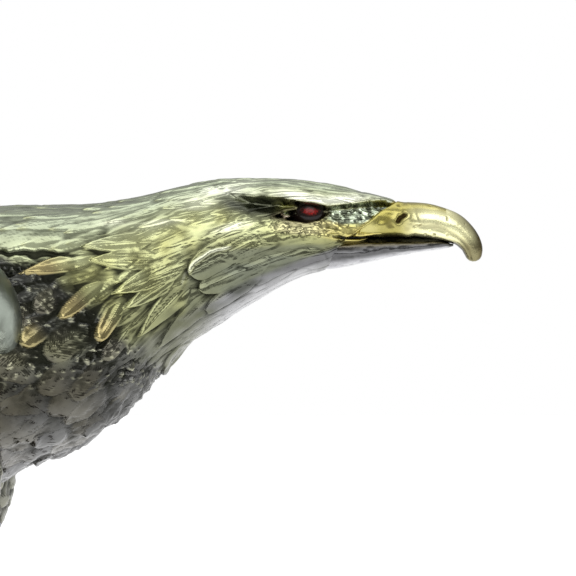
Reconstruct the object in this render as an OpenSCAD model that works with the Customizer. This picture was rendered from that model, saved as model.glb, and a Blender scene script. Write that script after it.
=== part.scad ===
// Cast bronze eagle statuette: an eagle with raised wings, gripping a crag on a wooden plinth.
// Millimetres, +X the way the beak points, +Y the bird's left, +Z up, origin under the plinth's centre.

/* [Base] */
// Length of the wooden plinth
plinth_l = 190; // [180:1:220]
// Width of the wooden plinth
plinth_w = 130; // [124:1:150]
// Thickness of the wooden plinth
plinth_h = 22; // [18:1:30]
// Thickness of the felt under the plinth
felt_t = 2; // [1:0.5:3]
// Height of the cast crag that the bird stands on
rock_h = 86; // [70:1:120]

/* [Casting] */
// Wall thickness of the hollow castings
wall = 4; // [3.5:0.25:4.5]
// Gap all round each tenon, spigot and screw
gap = 0.1; // [0.05:0.01:0.15]

/* [Wings and tail] */
// Length of a wing, measured round its curve
wing_len = 236; // [210:1:240]
// Slope of the wing where it leaves the body, in degrees
wing_slope_root = 25; // [20:1:30]
// Slope of the wing at its tip, in degrees
wing_slope_tip = 80; // [60:1:84]
// Length of the tail behind the body
tail_len = 112; // [90:1:125]

/* [Fittings] */
// Radius of the glass eyes
eye_r = 3; // [2.5:0.1:3.2]
// Radius of the steel rods inside the legs
rod_r = 3; // [2.5:0.1:3.2]
// Radius of the bolts that hold the crag to the plinth
bolt_r = 3; // [2.5:0.1:3.5]

/* [Hidden] */

RIGHT = -1;
LEFT = 1;
bronze_dark = "dimgray";
bronze_olive = "darkkhaki";
brass = "gold";
steel = "silver";
far = 400;                          // larger than any piece, for half-space cuts

plinth_top = felt_t + plinth_h;
perch_z = plinth_top + rock_h;      // the bird's own heights are measured from here
bolt_x = 45;
bolt_y = 27;
leg_x = 27;
leg_y = 21;
thigh_bottom = 42;                  // height where the feathered thigh ends and the bare shank starts
rock_roof = 6;                      // thickness of the crag's top wall
washer_t = 1.6;
nut_t = 5;

// Body outline, rump to brow: [x, back line, belly line, half width], heights from the perch.
BODY = [
    [-96, 102.5, 90, 11], [-80, 108.5, 84, 18], [-55, 119, 74, 27.5], [-25, 129.8, 66.5, 35.5],
    [5, 137.5, 64.5, 38], [30, 141.7, 69.5, 36.5], [50, 143.8, 77.5, 31.5], [62, 143.8, 81.5, 27],
    [72, 144.7, 87, 22], [80, 146, 94.7, 18.5], [85, 147.2, 101, 16], [92, 148.8, 108.8, 13.5],
    [100, 150.2, 114, 11.4], [110, 150.6, 121.5, 10.2], [120, 150.2, 126.2, 9.7],
    [130, 148.8, 129, 8.7], [138, 146.6, 130.3, 7], [147, 143.6, 131.5, 5.2]
];

// Upper beak, brow to hook: [x, z, tilt, half height above, below, half width].
UPPER_BEAK = [
    [132, 140, 0, 8.2, 4.4, 7.6], [142, 139.8, 0, 5.2, 4.2, 6], [147, 139.6, 0, 4.1, 4, 5.1],
    [153, 139.3, -4, 3.6, 3.7, 4.3], [157.8, 138.4, -18, 3.3, 3.3, 3.5],
    [161.2, 136.6, -50, 3.1, 3.1, 2.9], [162.9, 134, -80, 2.4, 2.3, 2.3],
    [163.1, 132, -92, 2, 2, 1.9], [162.8, 130.6, -100, 1.5, 1.5, 1.3], [162.5, 129.9, -105, 0.6, 0.6, 0.5]
];

// Lower beak, chin to tip: same columns.
LOWER_BEAK = [
    [131, 132.4, 0, 2.2, 3, 6.4], [138, 132.6, 0, 2, 2.3, 5.4], [145, 133, 0, 1.6, 1.7, 4.3],
    [152, 133.4, 0, 1.2, 1.15, 3.3], [157, 133.7, 0, 0.9, 0.8, 2.2], [159, 133.8, 0, 0.5, 0.5, 1]
];

// Tail root, rump to covert ends: [share of the tail's length, half width, half thickness, droop of edges].
TAIL = [[0, 11.6, 6.6, 0], [0.12, 15, 5.2, 0.8], [0.3, 19, 3.6, 2], [0.45, 20, 2.4, 3], [0.52, 12, 1, 2]];
tail_seat_z = 96.5;                 // from the perch
tail_slope = 14;
tail_feathers = 12;
tail_spread = 34;                   // angle between the outermost tail feathers

// Wing arm and coverts in the wing's unrolled plane: [share of its length, front x, rear x, half thickness].
WING = [
    [0, 52, -42, 15], [0.08, 50, -48, 12], [0.18, 40, -50, 8.6], [0.3, 31, -50, 6.6], [0.45, 29, -48, 5],
    [0.58, 20, -44, 3.8], [0.68, 8, -36, 2.8], [0.76, -6, -26, 2], [0.79, -12, -20, 1.4]
];
primaries = 10;
secondaries = 11;
wing_root_y = 27;
wing_root_z = 118;                  // from the perch

// Thigh, top to shank: [z, centre x, centre y, half length, half width].
THIGH = [
    [92, 24, 16, 21, 13], [80, 25, 20, 22, 15.5], [70, 26, 22.5, 20, 14.5], [60, 26.5, 22.5, 15.5, 11.5],
    [50, 27, 21.8, 10.5, 8.6], [thigh_bottom, 27, leg_y, 7.4, 6.6]
];

collar_pt = [57.5, 0, 122.5];       // the neck and torso castings meet on this sloping plane
collar_tilt = 38;
collar_deep = 10;
spigot_r = 14;
beak_pt = [142, 0, 139.5];          // the beak castings meet the face on this sloping plane
beak_tilt = -40.7;
leg_seat_pt = [leg_x, 19.4, 82.1];  // each thigh meets the torso on this sloping plane
leg_seat_tilt = 40;
leg_seat_l = 46;
tenon = [34, 7, 14];                // wing tenon: along x, thick, deep
tail_tenon = [13, 11, 6];
tail_seat_x = -92;
tail_screw_x = tail_seat_x + 7;
eye_pt = [122.8, 8.1, 141.5];

// ---- curves and lofts ----

function clamp_i(t, x, i = 0) = i >= len(t) - 2 || x < t[i + 1][0] ? i : clamp_i(t, x, i + 1);

function slope(t, i, k) =
    i == 0 ? (t[1][k] - t[0][k]) / (t[1][0] - t[0][0]) :
    i == len(t) - 1 ? (t[i][k] - t[i - 1][k]) / (t[i][0] - t[i - 1][0]) :
    (t[i + 1][k] - t[i - 1][k]) / (t[i + 1][0] - t[i - 1][0]);

// Column k of table t at x, on a smooth curve through the rows. Column 0 rises.
function smooth(t, x, k) =
    let (i = clamp_i(t, x), w = t[i + 1][0] - t[i][0], u = (x - t[i][0]) / w)
    t[i][k] * (2 * u * u * u - 3 * u * u + 1) + slope(t, i, k) * w * (u * u * u - 2 * u * u + u)
    + t[i + 1][k] * (3 * u * u - 2 * u * u * u) + slope(t, i + 1, k) * w * (u * u * u - u * u);

// A table whose column 0 is the row number, so that smooth() can run along any path.
function numbered(t) = [for (i = [0:len(t) - 1]) concat([i], t[i])];

// One closed solid through rings of equal length, each anticlockwise seen from the next, with flat ends.
module skin(rings) {
    n = len(rings[0]);
    m = len(rings);
    last = (m - 1) * n;
    sides = [
        for (r = [0:m - 2]) for (i = [0:n - 1]) for (f = [0, 1])
            let (a = r * n + i, b = r * n + (i + 1) % n, c = a + n, d = b + n)
            f == 0 ? [a, d, b] : [a, c, d]
    ];
    caps = [
        for (i = [0:n / 2 - 2]) for (f = [0:3])
            let (j = n - 1 - i)
            f == 0 ? [i, i + 1, j] :
            f == 1 ? [i + 1, j - 1, j] :
            f == 2 ? [last + i, last + j, last + i + 1] :
            [last + i + 1, last + j, last + j - 1]
    ];
    polyhedron([for (ring = rings) each ring], concat(sides, [for (c = caps) if (has_area(c)) c]));
}

// False for a cap triangle that has shrunk to an edge.
function has_area(c) = c[0] != c[1] && c[1] != c[2] && c[0] != c[2];

// A ring in the plane across x: oval, rising "up" over its centre and falling "down" below it.
function oval(x, y, z, half_w, up, down, tilt = 0, sides = 32) = [
    for (i = [0:sides - 1])
        let (a = 360 * i / sides, h = (sin(a) > 0 ? up : down) * sin(a))
        [x - h * sin(tilt), y + half_w * cos(a), z + h * cos(tilt)]
];

// The whole body from rump to brow, shrunk by inset for the space inside a casting.
module body_form(inset, rings, sides, from_x, to_x) {
    step = (to_x - from_x) / rings;
    skin([
        for (i = [0:rings])
            let (
                x = from_x + i * step,
                top = smooth(BODY, x, 1) - inset,
                bottom = smooth(BODY, x, 2) + inset,
                mid = (top + bottom) / 2
            )
            oval(x, 0, mid, smooth(BODY, x, 3) - inset, top - mid, mid - bottom, 0, sides)
    ]);
}

// A tapering form along a path in the plane y = 0, from a table of [x, z, tilt, up, down, half width].
module path_form(table, steps = 4, sides = 24) {
    t = numbered(table);
    skin([
        for (i = [0:(len(table) - 1) * steps])
            let (s = i / steps)
            oval(smooth(t, s, 1), 0, smooth(t, s, 2), smooth(t, s, 6),
                 smooth(t, s, 4), smooth(t, s, 5), smooth(t, s, 3), sides)
    ]);
}

// Everything on the near side of a sloping plane; tilt turns its normal from +X towards +Z.
module half_space(point, tilt, side) {
    translate(point) rotate([0, -tilt, 0]) translate([side > 0 ? 0 : -far, -far / 2, -far / 2]) cube(far);
}

module at_perch() {
    translate([0, 0, perch_z]) children();
}

module mirrored(side) {
    scale_y = side == LEFT ? 0 : 1;
    mirror([0, scale_y, 0]) children();
}

// Puts the children in the frame of the left wing's seat: +X along the chord, +Z out along the wing.
module at_wing_seat() {
    translate([5, wing_root_y, wing_root_z]) rotate([wing_slope_root - 90, 0, 0]) children();
}

// Puts the children in the frame of the neck joint: +Z up the neck.
module at_collar() {
    translate(collar_pt) rotate([0, collar_tilt, 0]) children();
}

// ---- base ----

module plate(l, w, h, r) {
    linear_extrude(h) hull() for (x = [-1, 1]) for (y = [-1, 1])
        translate([x * (l / 2 - r), y * (w / 2 - r)]) circle(r, $fn = 48);
}

module at_bolts() {
    for (x = [-1, 1]) for (y = [-1, 1]) translate([x * bolt_x, y * bolt_y, 0]) children();
}

module felt_pad() {
    color("darkgreen") plate(plinth_l - 8, plinth_w - 8, felt_t, 14);
}

module plinth() {
    color("saddlebrown") difference() {
        translate([0, 0, felt_t]) union() {
            plate(plinth_l, plinth_w, plinth_h - 8, 18);
            translate([0, 0, plinth_h - 8]) plate(plinth_l - 8, plinth_w - 8, 4, 14);
            translate([0, 0, plinth_h - 4]) plate(plinth_l - 16, plinth_w - 16, 4, 10);
        }
        at_bolts() {
            translate([0, 0, -1]) cylinder(r = bolt_r + 0.3, h = plinth_top + 2, $fn = 32);
            translate([0, 0, -1]) cylinder(r = 2 * bolt_r + 1.4, h = felt_t + 10, $fn = 32);
        }
    }
}

// A point of the crag's side towards angle a at share t of its height, as slow waves on an oval.
function crag(a, t, inset) =
    let (
        narrow = pow(max(0, t), 1.5),
        waves = 3.2 * sin(3 * a + 150 * t) + 2.4 * sin(5 * a - 210 * t + 40) + 1.6 * sin(8 * a + 330 * t)
    )
    [
        (76 - inset + waves) * (1 - 0.33 * narrow) * cos(a) + 18 * t,
        (54 - inset + waves * 0.8) * (1 - 0.15 * narrow) * sin(a)
    ];

module crag_form(inset, low, high, levels, sides) {
    skin([
        for (j = [0:levels])
            let (t = (low + (high - low) * j / levels) / rock_h)
            [
                for (i = [0:sides - 1])
                    let (p = crag(360 * i / sides, t, inset))
                    [p[0], p[1], plinth_top + t * rock_h]
            ]
    ]);
}

module rock() {
    color(bronze_dark) difference() {
        crag_form(0, 0, rock_h, 12, 44);
        difference() {
            crag_form(wall + 3, -1, rock_h - rock_roof, 6, 24);
            at_bolts() translate([0, 0, plinth_top - 2]) cylinder(r = 9, h = 26, $fn = 32);
        }
        at_bolts() translate([0, 0, plinth_top - 1]) cylinder(r = bolt_r + gap / 2, h = 20, $fn = 32);
        for (s = [RIGHT, LEFT])
            translate([leg_x, s * leg_y, perch_z - rock_roof - 4])
                cylinder(r = rod_r + gap, h = 12, $fn = 32);
    }
}

module rock_bolts() {
    head_z = felt_t + 2;
    color(steel) at_bolts() difference() {
        union() {
            translate([0, 0, head_z]) cylinder(r = 2 * bolt_r - 1, h = 6, $fn = 32);
            translate([0, 0, head_z + 6]) cylinder(r = bolt_r, h = plinth_top - head_z + 8, $fn = 32);
        }
        translate([0, 0, head_z - 1]) cylinder(r = 2.9, h = 4, $fn = 6);
    }
}

module rock_bolt_washers() {
    color(steel) at_bolts() translate([0, 0, felt_t + 8]) difference() {
        cylinder(r = 2 * bolt_r + 1, h = 2, $fn = 32);
        translate([0, 0, -1]) cylinder(r = bolt_r + 0.2, h = 4, $fn = 32);
    }
}

// ---- legs ----

// Toes seen from above: [direction, length, lift of the knuckle].
TOES = [[-34, 22, 4], [2, 26, 4.8], [38, 22, 4], [176, 15, 3.4]];
toe_r = 3.4;
claw_len = 14;
claw_rise = 30;                     // the claw leaves the toe at this angle and turns down through claw_turn
claw_turn = 130;

// A ring across a path that heads along "way" seen from above, and climbs by "climb".
function ring_across(p, way, climb, r, sides) = [
    for (i = [0:sides - 1])
        let (a = 360 * i / sides, u = r * sin(a), v = r * cos(a))
        [
            p[0] - v * sin(way) - u * sin(climb) * cos(way),
            p[1] + v * cos(way) - u * sin(climb) * sin(way),
            p[2] + u * cos(climb)
        ]
];

// One toe, an arch from the ankle over a knuckle, and its claw, which curves down on to the perch.
module toe(t) {
    sides = 12;
    way = t[0];
    skin([
        for (i = [0:9])
            let (s = i / 9, reach = t[1] * s, z = toe_r + t[2] * sin(150 * s))
            ring_across([reach * cos(way), reach * sin(way), z], way, 0,
                        toe_r * (1 - 0.2 * s) * (1 + 0.1 * cos(720 * s)), sides)
    ]);
    arc_r = claw_len / (claw_turn * PI / 180);
    skin([
        for (i = [0:7])
            let (
                s = i / 7,
                climb = claw_rise - claw_turn * s,
                reach = t[1] - 2 + arc_r * (sin(claw_rise) - sin(climb)),
                z = toe_r + t[2] / 2 + arc_r * (cos(climb) - cos(claw_rise))
            )
            ring_across([reach * cos(way), reach * sin(way), z], way, climb,
                        2.2 * pow(1 - s, 0.7) + 0.3, sides)
    ]);
}

module foot(side) {
    color(brass) at_perch() mirrored(side) difference() {
        union() {
            translate([leg_x, leg_y, 1.5]) cylinder(r1 = 7, r2 = 5.2, h = 9, $fn = 32);
            translate([leg_x, leg_y, 10]) cylinder(r = 5.2, h = thigh_bottom - 10, $fn = 32);
            translate([leg_x, leg_y, 0]) for (t = TOES) toe(t);
        }
        translate([leg_x, leg_y, -5]) cylinder(r = rod_r + gap, h = thigh_bottom + 10, $fn = 32);
        translate([-far / 2, -far / 2, -far]) cube(far);
    }
}

module right_foot() {
    foot(RIGHT);
}

module left_foot() {
    foot(LEFT);
}

// The block below a thigh's seat on the torso.
module leg_seat_cut() {
    translate([leg_x, leg_seat_pt[1], leg_seat_pt[2]]) rotate([leg_seat_tilt, 0, 0])
        translate([-leg_seat_l / 2, -30, -60]) cube([leg_seat_l, 60, 60]);
}

module thigh(side) {
    depth = THIGH[0][0] - thigh_bottom;
    by_depth = [for (row = THIGH) concat([THIGH[0][0] - row[0]], row)];
    color(bronze_dark) at_perch() mirrored(side) difference() {
        intersection() {
            skin([
                for (i = [20:-1:0])
                    let (d = depth * i / 20, t = by_depth)
                    [
                        for (k = [0:27])
                            let (a = 360 * k / 28)
                            [
                                smooth(t, d, 2) + smooth(t, d, 4) * cos(a),
                                smooth(t, d, 3) + smooth(t, d, 5) * sin(a),
                                THIGH[0][0] - d
                            ]
                    ]
            ]);
            leg_seat_cut();
        }
        translate([leg_x, leg_y, 0]) cylinder(r = rod_r + gap, h = 120, $fn = 32);
    }
}

module right_thigh() {
    thigh(RIGHT);
}

module left_thigh() {
    thigh(LEFT);
}

module leg_rod(side) {
    low = -rock_roof - washer_t - nut_t - 2;
    high = 95;
    color(steel) at_perch() translate([leg_x, side * leg_y, low])
        cylinder(r = rod_r, h = high - low, $fn = 32);
}

module right_leg_rod() {
    leg_rod(RIGHT);
}

module left_leg_rod() {
    leg_rod(LEFT);
}

module leg_nuts() {
    color(steel) at_perch() for (s = [RIGHT, LEFT])
        translate([leg_x, s * leg_y, -rock_roof - washer_t - nut_t]) difference() {
            cylinder(r = 5.7, h = nut_t, $fn = 6);
            translate([0, 0, -1]) cylinder(r = rod_r + gap / 2, h = nut_t + 2, $fn = 32);
        }
}

module leg_washers() {
    color(steel) at_perch() for (s = [RIGHT, LEFT])
        translate([leg_x, s * leg_y, -rock_roof - washer_t]) difference() {
            cylinder(r = 6.4, h = washer_t, $fn = 32);
            translate([0, 0, -1]) cylinder(r = rod_r + 0.2, h = washer_t + 2, $fn = 32);
        }
}

// ---- body ----

// A rod across the wing tenon, "start" from the tenon's middle.
module wing_screw_bore(r, start, deep) {
    at_wing_seat() translate([0, start, -tenon[2] / 2]) rotate([-90, 0, 0])
        cylinder(r = r, h = deep, $fn = 32);
}

// The space in the torso casting, less the bosses round its joints.

module torso_space() {
    difference() {
        intersection() {
            body_form(wall, 20, 24, -84, 120);
            at_collar() translate([-far / 2, -far / 2, -far - collar_deep]) cube(far);
        }
        for (side = [RIGHT, LEFT]) mirrored(side) {
            at_wing_seat() translate([-22, -9, -19]) cube([44, 30, 24]);
            translate([leg_x, leg_y, 60]) cylinder(r = 8, h = 38, $fn = 32);
        }
        translate([tail_seat_x - 1, -10, 84]) cube([22, 20, 30]);
    }
}

module torso() {
    color(bronze_dark) at_perch() difference() {
        body_form(0, 34, 32, -96, 96);
        half_space(collar_pt, 90 - collar_tilt, 1);
        translate([tail_seat_x - far, -far / 2, -far / 2]) cube(far);
        torso_space();
        at_collar() translate([0, 0, -collar_deep - 5])
            cylinder(r = spigot_r + gap, h = collar_deep + 10, $fn = 64);
        at_neck_pins() cylinder(r = 1.5 + gap, h = 40, $fn = 24);
        for (side = [RIGHT, LEFT]) mirrored(side) {
            leg_seat_cut();
            at_wing_seat() translate([-60, -40, 0]) cube([120, 80, 60]);
            at_wing_seat() translate([-tenon[0] / 2 - gap, -tenon[1] / 2 - gap, -tenon[2] - gap])
                cube([tenon[0] + 2 * gap, tenon[1] + 2 * gap, tenon[2] + 5]);
            wing_screw_bore(2.5 + gap, 0, 60);
            translate([leg_x, leg_y, 60]) cylinder(r = rod_r + gap / 2, h = 36, $fn = 32);
        }
        translate([tail_seat_x - 1, -tail_tenon[1] / 2 - gap, tail_seat_z - tail_tenon[2] / 2 - gap])
            cube([tail_tenon[0] + 1 + gap, tail_tenon[1] + 2 * gap, tail_tenon[2] + 2 * gap]);
        translate([tail_screw_x, 0, 60]) cylinder(r = 2 + gap, h = 40, $fn = 24);
    }
}

// Two pins lie across the neck joint, one each side.
module at_neck_pins() {
    for (side = [RIGHT, LEFT]) mirrored(side)
        at_collar() translate([0, 11.5, -collar_deep / 2]) rotate([-90, 0, 0]) children();
}

module neck_pins() {
    color(steel) at_perch() at_neck_pins() cylinder(r = 1.5, h = 9, $fn = 24);
}

// The neck and head casting: hollow in the neck, solid in the face, with seats for the beak and eyes.
module head_and_neck() {
    color(bronze_olive) at_perch() difference() {
        union() {
            intersection() {
                body_form(0, 34, 32, 28, 147);
                half_space(collar_pt, 90 - collar_tilt, 1);
            }
            at_collar() translate([0, 0, -collar_deep])
                cylinder(r = spigot_r, h = collar_deep + 4, $fn = 64);
        }
        half_space(beak_pt, beak_tilt, 1);
        intersection() {
            body_form(wall, 18, 24, 32, 112);
            half_space([collar_pt[0] + wall, 0, collar_pt[2] + wall], 90 - collar_tilt, 1);
        }
        at_collar() translate([0, 0, -collar_deep - 1])
            cylinder(r = spigot_r - wall, h = collar_deep + 12, $fn = 64);
        at_neck_pins() cylinder(r = 1.5 + gap, h = 10, $fn = 24);
        for (side = [RIGHT, LEFT]) mirrored(side)
            translate([eye_pt[0], eye_pt[1] - 2.5, eye_pt[2]]) rotate([-90, 0, 0])
                cylinder(r = eye_r + gap, h = 10, $fn = 32);
        translate([beak_pt[0] - 9, 0, beak_pt[2]]) rotate([0, 90, 0])
            cylinder(r = 2.2 + gap, h = 20, $fn = 24);
        translate([130, 0, 132.4]) rotate([0, 90, 0]) cylinder(r = 1 + gap, h = 20, $fn = 24);
    }
}

module upper_beak() {
    color(brass) at_perch() union() {
        intersection() {
            path_form(UPPER_BEAK, 3, 20);
            half_space(beak_pt, beak_tilt, 1);
        }
        translate([beak_pt[0] - 8, 0, beak_pt[2]]) rotate([0, 90, 0]) cylinder(r = 2.2, h = 12, $fn = 24);
    }
}

module lower_beak() {
    color(bronze_dark) at_perch() union() {
        intersection() {
            path_form(LOWER_BEAK, 2, 18);
            half_space(beak_pt, beak_tilt, 1);
        }
        translate([131, 0, 132.4]) rotate([0, 90, 0]) cylinder(r = 1, h = 8, $fn = 24);
    }
}

// A domed glass eye with a flat back.
module eye(side) {
    dome = 4.4;
    color("firebrick") at_perch() mirrored(side)
        translate([eye_pt[0], eye_pt[1] - 2.4, eye_pt[2]]) rotate([-90, 0, 0]) intersection() {
            cylinder(r = eye_r, h = 6, $fn = 32);
            translate([0, 0, 3.4 - dome]) sphere(r = dome, $fn = 48);
        }
}

module right_eye() {
    eye(RIGHT);
}

module left_eye() {
    eye(LEFT);
}

// ---- wings and tail ----

wing_arc_r = wing_len / ((wing_slope_tip - wing_slope_root) * PI / 180);

// A point of the left wing: distance p out along its curved sheet, x along the body, height h off the sheet.
function wing_point(p, x, h) =
    let (a = wing_slope_root + (wing_slope_tip - wing_slope_root) * p / wing_len)
    [
        x,
        wing_root_y + wing_arc_r * (sin(a) - sin(wing_slope_root)) - h * sin(a),
        wing_root_z + wing_arc_r * (cos(wing_slope_root) - cos(a)) + h * cos(a)
    ];

// The arm's section at share t: blunt in front, thin behind, arched along the chord.
function wing_ring(t, cells = 9) =
    let (
        front = smooth(WING, t, 1),
        chord = front - smooth(WING, t, 2),
        thick = smooth(WING, t, 3),
        arch = 6 * sin(180 * min(1, t * 1.3))
    )
    [
        for (side = [1, -1]) for (i = [0:cells])
            let (
                s = side > 0 ? i / cells : 1 - i / cells,
                half = 0.8 + (thick - 0.8) * pow(1 - s, 1.3) * sqrt(min(1, 9 * s + 0.08))
            )
            wing_point(t * wing_len, front - chord * s, arch * sin(180 * s) * 0.8 + side * half)
    ];

// Flat ring of a feather blade: w wide each side of its shaft, th thick at the shaft, as [side, height] pairs.
function blade_section(w, th) =
    [[w, 0.35], [0, th], [-w, 0.35], [-w, -0.35], [0, -th], [w, -0.35]];

// Width of a blade at share s of its length: parallel sided with a rounded tip.
function blade_width(s) = 0.8 + 0.2 * s - 0.72 * pow(s, 9);

// A flight feather rooted at [p, x] on the wing; "way" turns it from straight back towards straight out.
module wing_feather(root, way, len, w, lift) {
    steps = 6;
    skin([
        for (j = [0:steps])
            let (s = 1 - pow(1 - j / steps, 1.4))
            [
                for (c = blade_section(w * blade_width(s), 1.1 - 0.5 * s))
                    wing_point(
                        root[0] + s * len * sin(way) - c[0] * cos(way),
                        root[1] - s * len * cos(way) - c[0] * sin(way),
                        lift + c[1]
                    )
            ]
    ]);
}

module wing(side) {
    rows = 26;
    color(bronze_dark) at_perch() mirrored(side) difference() {
        union() {
            skin([for (i = [rows:-1:0]) wing_ring(0.79 * i / rows)]);
            at_wing_seat() translate([-tenon[0] / 2, -tenon[1] / 2, -tenon[2]])
                cube([tenon[0], tenon[1], tenon[2] + 3]);
            for (i = [0:primaries - 1])
                let (u = i / (primaries - 1))
                wing_feather([wing_len * (0.5 + 0.21 * u), 8 - 14 * u], 14 + 56 * u,
                             98 - 30 * pow(u, 3), 7.6, 0.8 + u);
            for (i = [0:secondaries - 1])
                let (u = i / (secondaries - 1))
                wing_feather([wing_len * (0.05 + 0.44 * u), -20 + 20 * u], 14 * u - 4,
                             56 + 38 * u, 7, 1.2 - 0.4 * u);
        }
        wing_screw_bore(1.9, 1.5, 10);
    }
}

module right_wing() {
    wing(RIGHT);
}

module left_wing() {
    wing(LEFT);
}

module wing_screw(side) {
    color(steel) at_perch() mirrored(side) difference() {
        wing_screw_bore(2.5, tenon[1] / 2, 12);
        at_wing_seat() translate([0, tenon[1] / 2 + 9, -tenon[2] / 2]) rotate([-90, 0, 0])
            cylinder(r = 1.4, h = 6, $fn = 6);
    }
}

module right_wing_screw() {
    wing_screw(RIGHT);
}

module left_wing_screw() {
    wing_screw(LEFT);
}

// A tail feather at angle "way" to the centre line.
module tail_feather(way) {
    steps = 5;
    root = 0.3 * tail_len;
    len = tail_len - root - 3 * pow(way / tail_spread * 2, 2);
    skin([
        for (j = [steps:-1:0])
            let (s = 1 - pow(1 - j / steps, 1.4), reach = root + s * len)
            [
                for (c = blade_section(6.4 * blade_width(s), 1 - 0.4 * s))
                    [
                        tail_seat_x - reach * cos(way),
                        reach * sin(way) + c[0],
                        tail_seat_z - reach * tan(tail_slope)
                            - 5 * pow(way / tail_spread * 2, 2) * s + c[1]
                    ]
            ]
    ]);
}

module tail() {
    steps = 14;
    color(bronze_dark) at_perch() difference() {
        union() {
            skin([
                for (i = [steps:-1:0])
                    let (
                        s = 0.52 * i / steps,
                        x = tail_seat_x - tail_len * s,
                        z = tail_seat_z - tail_len * s * tan(tail_slope)
                    )
                    [
                        for (k = [0:23])
                            let (
                                a = 360 * k / 24,
                                y = smooth(TAIL, s, 1) * cos(a),
                                edge = smooth(TAIL, s, 3) * pow(cos(a), 2)
                            )
                            [x, y, z - edge + smooth(TAIL, s, 2) * sin(a)]
                    ]
            ]);
            for (i = [0:tail_feathers - 1]) tail_feather((i / (tail_feathers - 1) - 0.5) * tail_spread);
            translate([tail_seat_x - 2, -tail_tenon[1] / 2, tail_seat_z - tail_tenon[2] / 2])
                cube([tail_tenon[0] + 2, tail_tenon[1], tail_tenon[2]]);
        }
        translate([tail_screw_x, 0, 92]) cylinder(r = 2 + gap, h = 10, $fn = 24);
    }
}

module tail_screw() {
    color(steel) at_perch() translate([tail_screw_x, 0, 86]) difference() {
        cylinder(r = 2, h = 13, $fn = 24);
        translate([0, 0, -1]) cylinder(r = 1.2, h = 3.5, $fn = 6);
    }
}

felt_pad();
plinth();
rock();
rock_bolts();
rock_bolt_washers();
right_foot();
left_foot();
right_thigh();
left_thigh();
right_leg_rod();
left_leg_rod();
leg_nuts();
leg_washers();
torso();
head_and_neck();
neck_pins();
upper_beak();
lower_beak();
right_eye();
left_eye();
right_wing();
left_wing();
right_wing_screw();
left_wing_screw();
tail();
tail_screw();
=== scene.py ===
"""Looks of a cast bronze eagle statuette: relief-feathered castings, polished beak, glass eyes, crag and plinth.

Everything is worked out in millimetres in the part's own frame, with heights counted from the top of the
crag that the bird stands on, and goes to metres when a mesh is made.
"""
import math

import bpy
import numpy as np
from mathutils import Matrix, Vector


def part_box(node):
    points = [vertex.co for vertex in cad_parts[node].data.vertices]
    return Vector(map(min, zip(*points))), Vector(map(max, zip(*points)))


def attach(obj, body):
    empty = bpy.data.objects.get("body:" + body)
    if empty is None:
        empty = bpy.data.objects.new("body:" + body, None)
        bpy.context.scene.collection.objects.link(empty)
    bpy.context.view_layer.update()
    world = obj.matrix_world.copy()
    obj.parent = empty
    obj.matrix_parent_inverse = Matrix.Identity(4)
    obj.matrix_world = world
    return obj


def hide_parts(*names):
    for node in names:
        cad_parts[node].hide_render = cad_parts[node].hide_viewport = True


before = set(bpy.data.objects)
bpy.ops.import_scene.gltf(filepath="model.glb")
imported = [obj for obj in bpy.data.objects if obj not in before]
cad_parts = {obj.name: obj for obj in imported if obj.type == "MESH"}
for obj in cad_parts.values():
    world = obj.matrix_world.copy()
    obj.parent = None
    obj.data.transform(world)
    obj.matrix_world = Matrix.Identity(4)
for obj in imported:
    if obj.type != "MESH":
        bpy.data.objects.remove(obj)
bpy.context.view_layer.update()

MM = 0.001
CRAG_FOOT, PERCH = (corner.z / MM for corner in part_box("rock"))
SIDES = {"right": -1, "left": 1}
rng = np.random.default_rng(11)


# ---------------------------------------------------------------- numbers along curves, and noise

def smooth(table, x, k):
    """Column k of a table at x, on a cubic through its rows. Column 0 rises."""
    t = np.asarray(table, float)
    xs, ys = t[:, 0], t[:, k]
    slope = np.empty(len(xs))
    slope[1:-1] = (ys[2:] - ys[:-2]) / (xs[2:] - xs[:-2])
    slope[0] = (ys[1] - ys[0]) / (xs[1] - xs[0])
    slope[-1] = (ys[-1] - ys[-2]) / (xs[-1] - xs[-2])
    i = np.clip(np.searchsorted(xs, x, side="right") - 1, 0, len(xs) - 2)
    w = xs[i + 1] - xs[i]
    u = (x - xs[i]) / w
    return (ys[i] * (2 * u**3 - 3 * u**2 + 1) + slope[i] * w * (u**3 - 2 * u**2 + u)
            + ys[i + 1] * (3 * u**2 - 2 * u**3) + slope[i + 1] * w * (u**3 - u**2))


def along_rows(table, share):
    """Every column of a table whose rows are evenly spaced from share 0 to share 1."""
    numbered = [[i, *row] for i, row in enumerate(table)]
    place = np.asarray(share, float) * (len(table) - 1)
    return [smooth(numbered, place, k + 1) for k in range(len(table[0]))]


def step(low, high, x):
    """0 below low, 1 above high, smooth between; falls instead when high is under low."""
    u = np.clip((x - low) / (high - low), 0, 1)
    return u * u * (3 - 2 * u)


def span(x, start, full, fade, end):
    """1 from full to fade, smoothly down to 0 at start and at end."""
    return step(start, full, x) * step(end, fade, x)


def bump(x, centre, width):
    return np.exp(-((x - centre) / width) ** 2)


def patch(x, z, centre, size, power=2):
    """A soft spot in side view, 1 at its centre."""
    return np.exp(-np.hypot((x - centre[0]) / size[0], (z - centre[1]) / size[1]) ** power)


def lattice(i, j, k, seed):
    """A number from 0 to 1 for each whole point, scrambled from its coordinates and the seed."""
    h = (i * 73856093) ^ (j * 19349663) ^ (k * 83492791) ^ (seed * 668265263)
    h = ((h ^ (h >> 15)) * 2246822519) & 0xFFFFFFFF
    h = ((h ^ (h >> 13)) * 3266489917) & 0xFFFFFFFF
    return ((h ^ (h >> 16)) & 0xFFFFFF) / 0xFFFFFF


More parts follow.
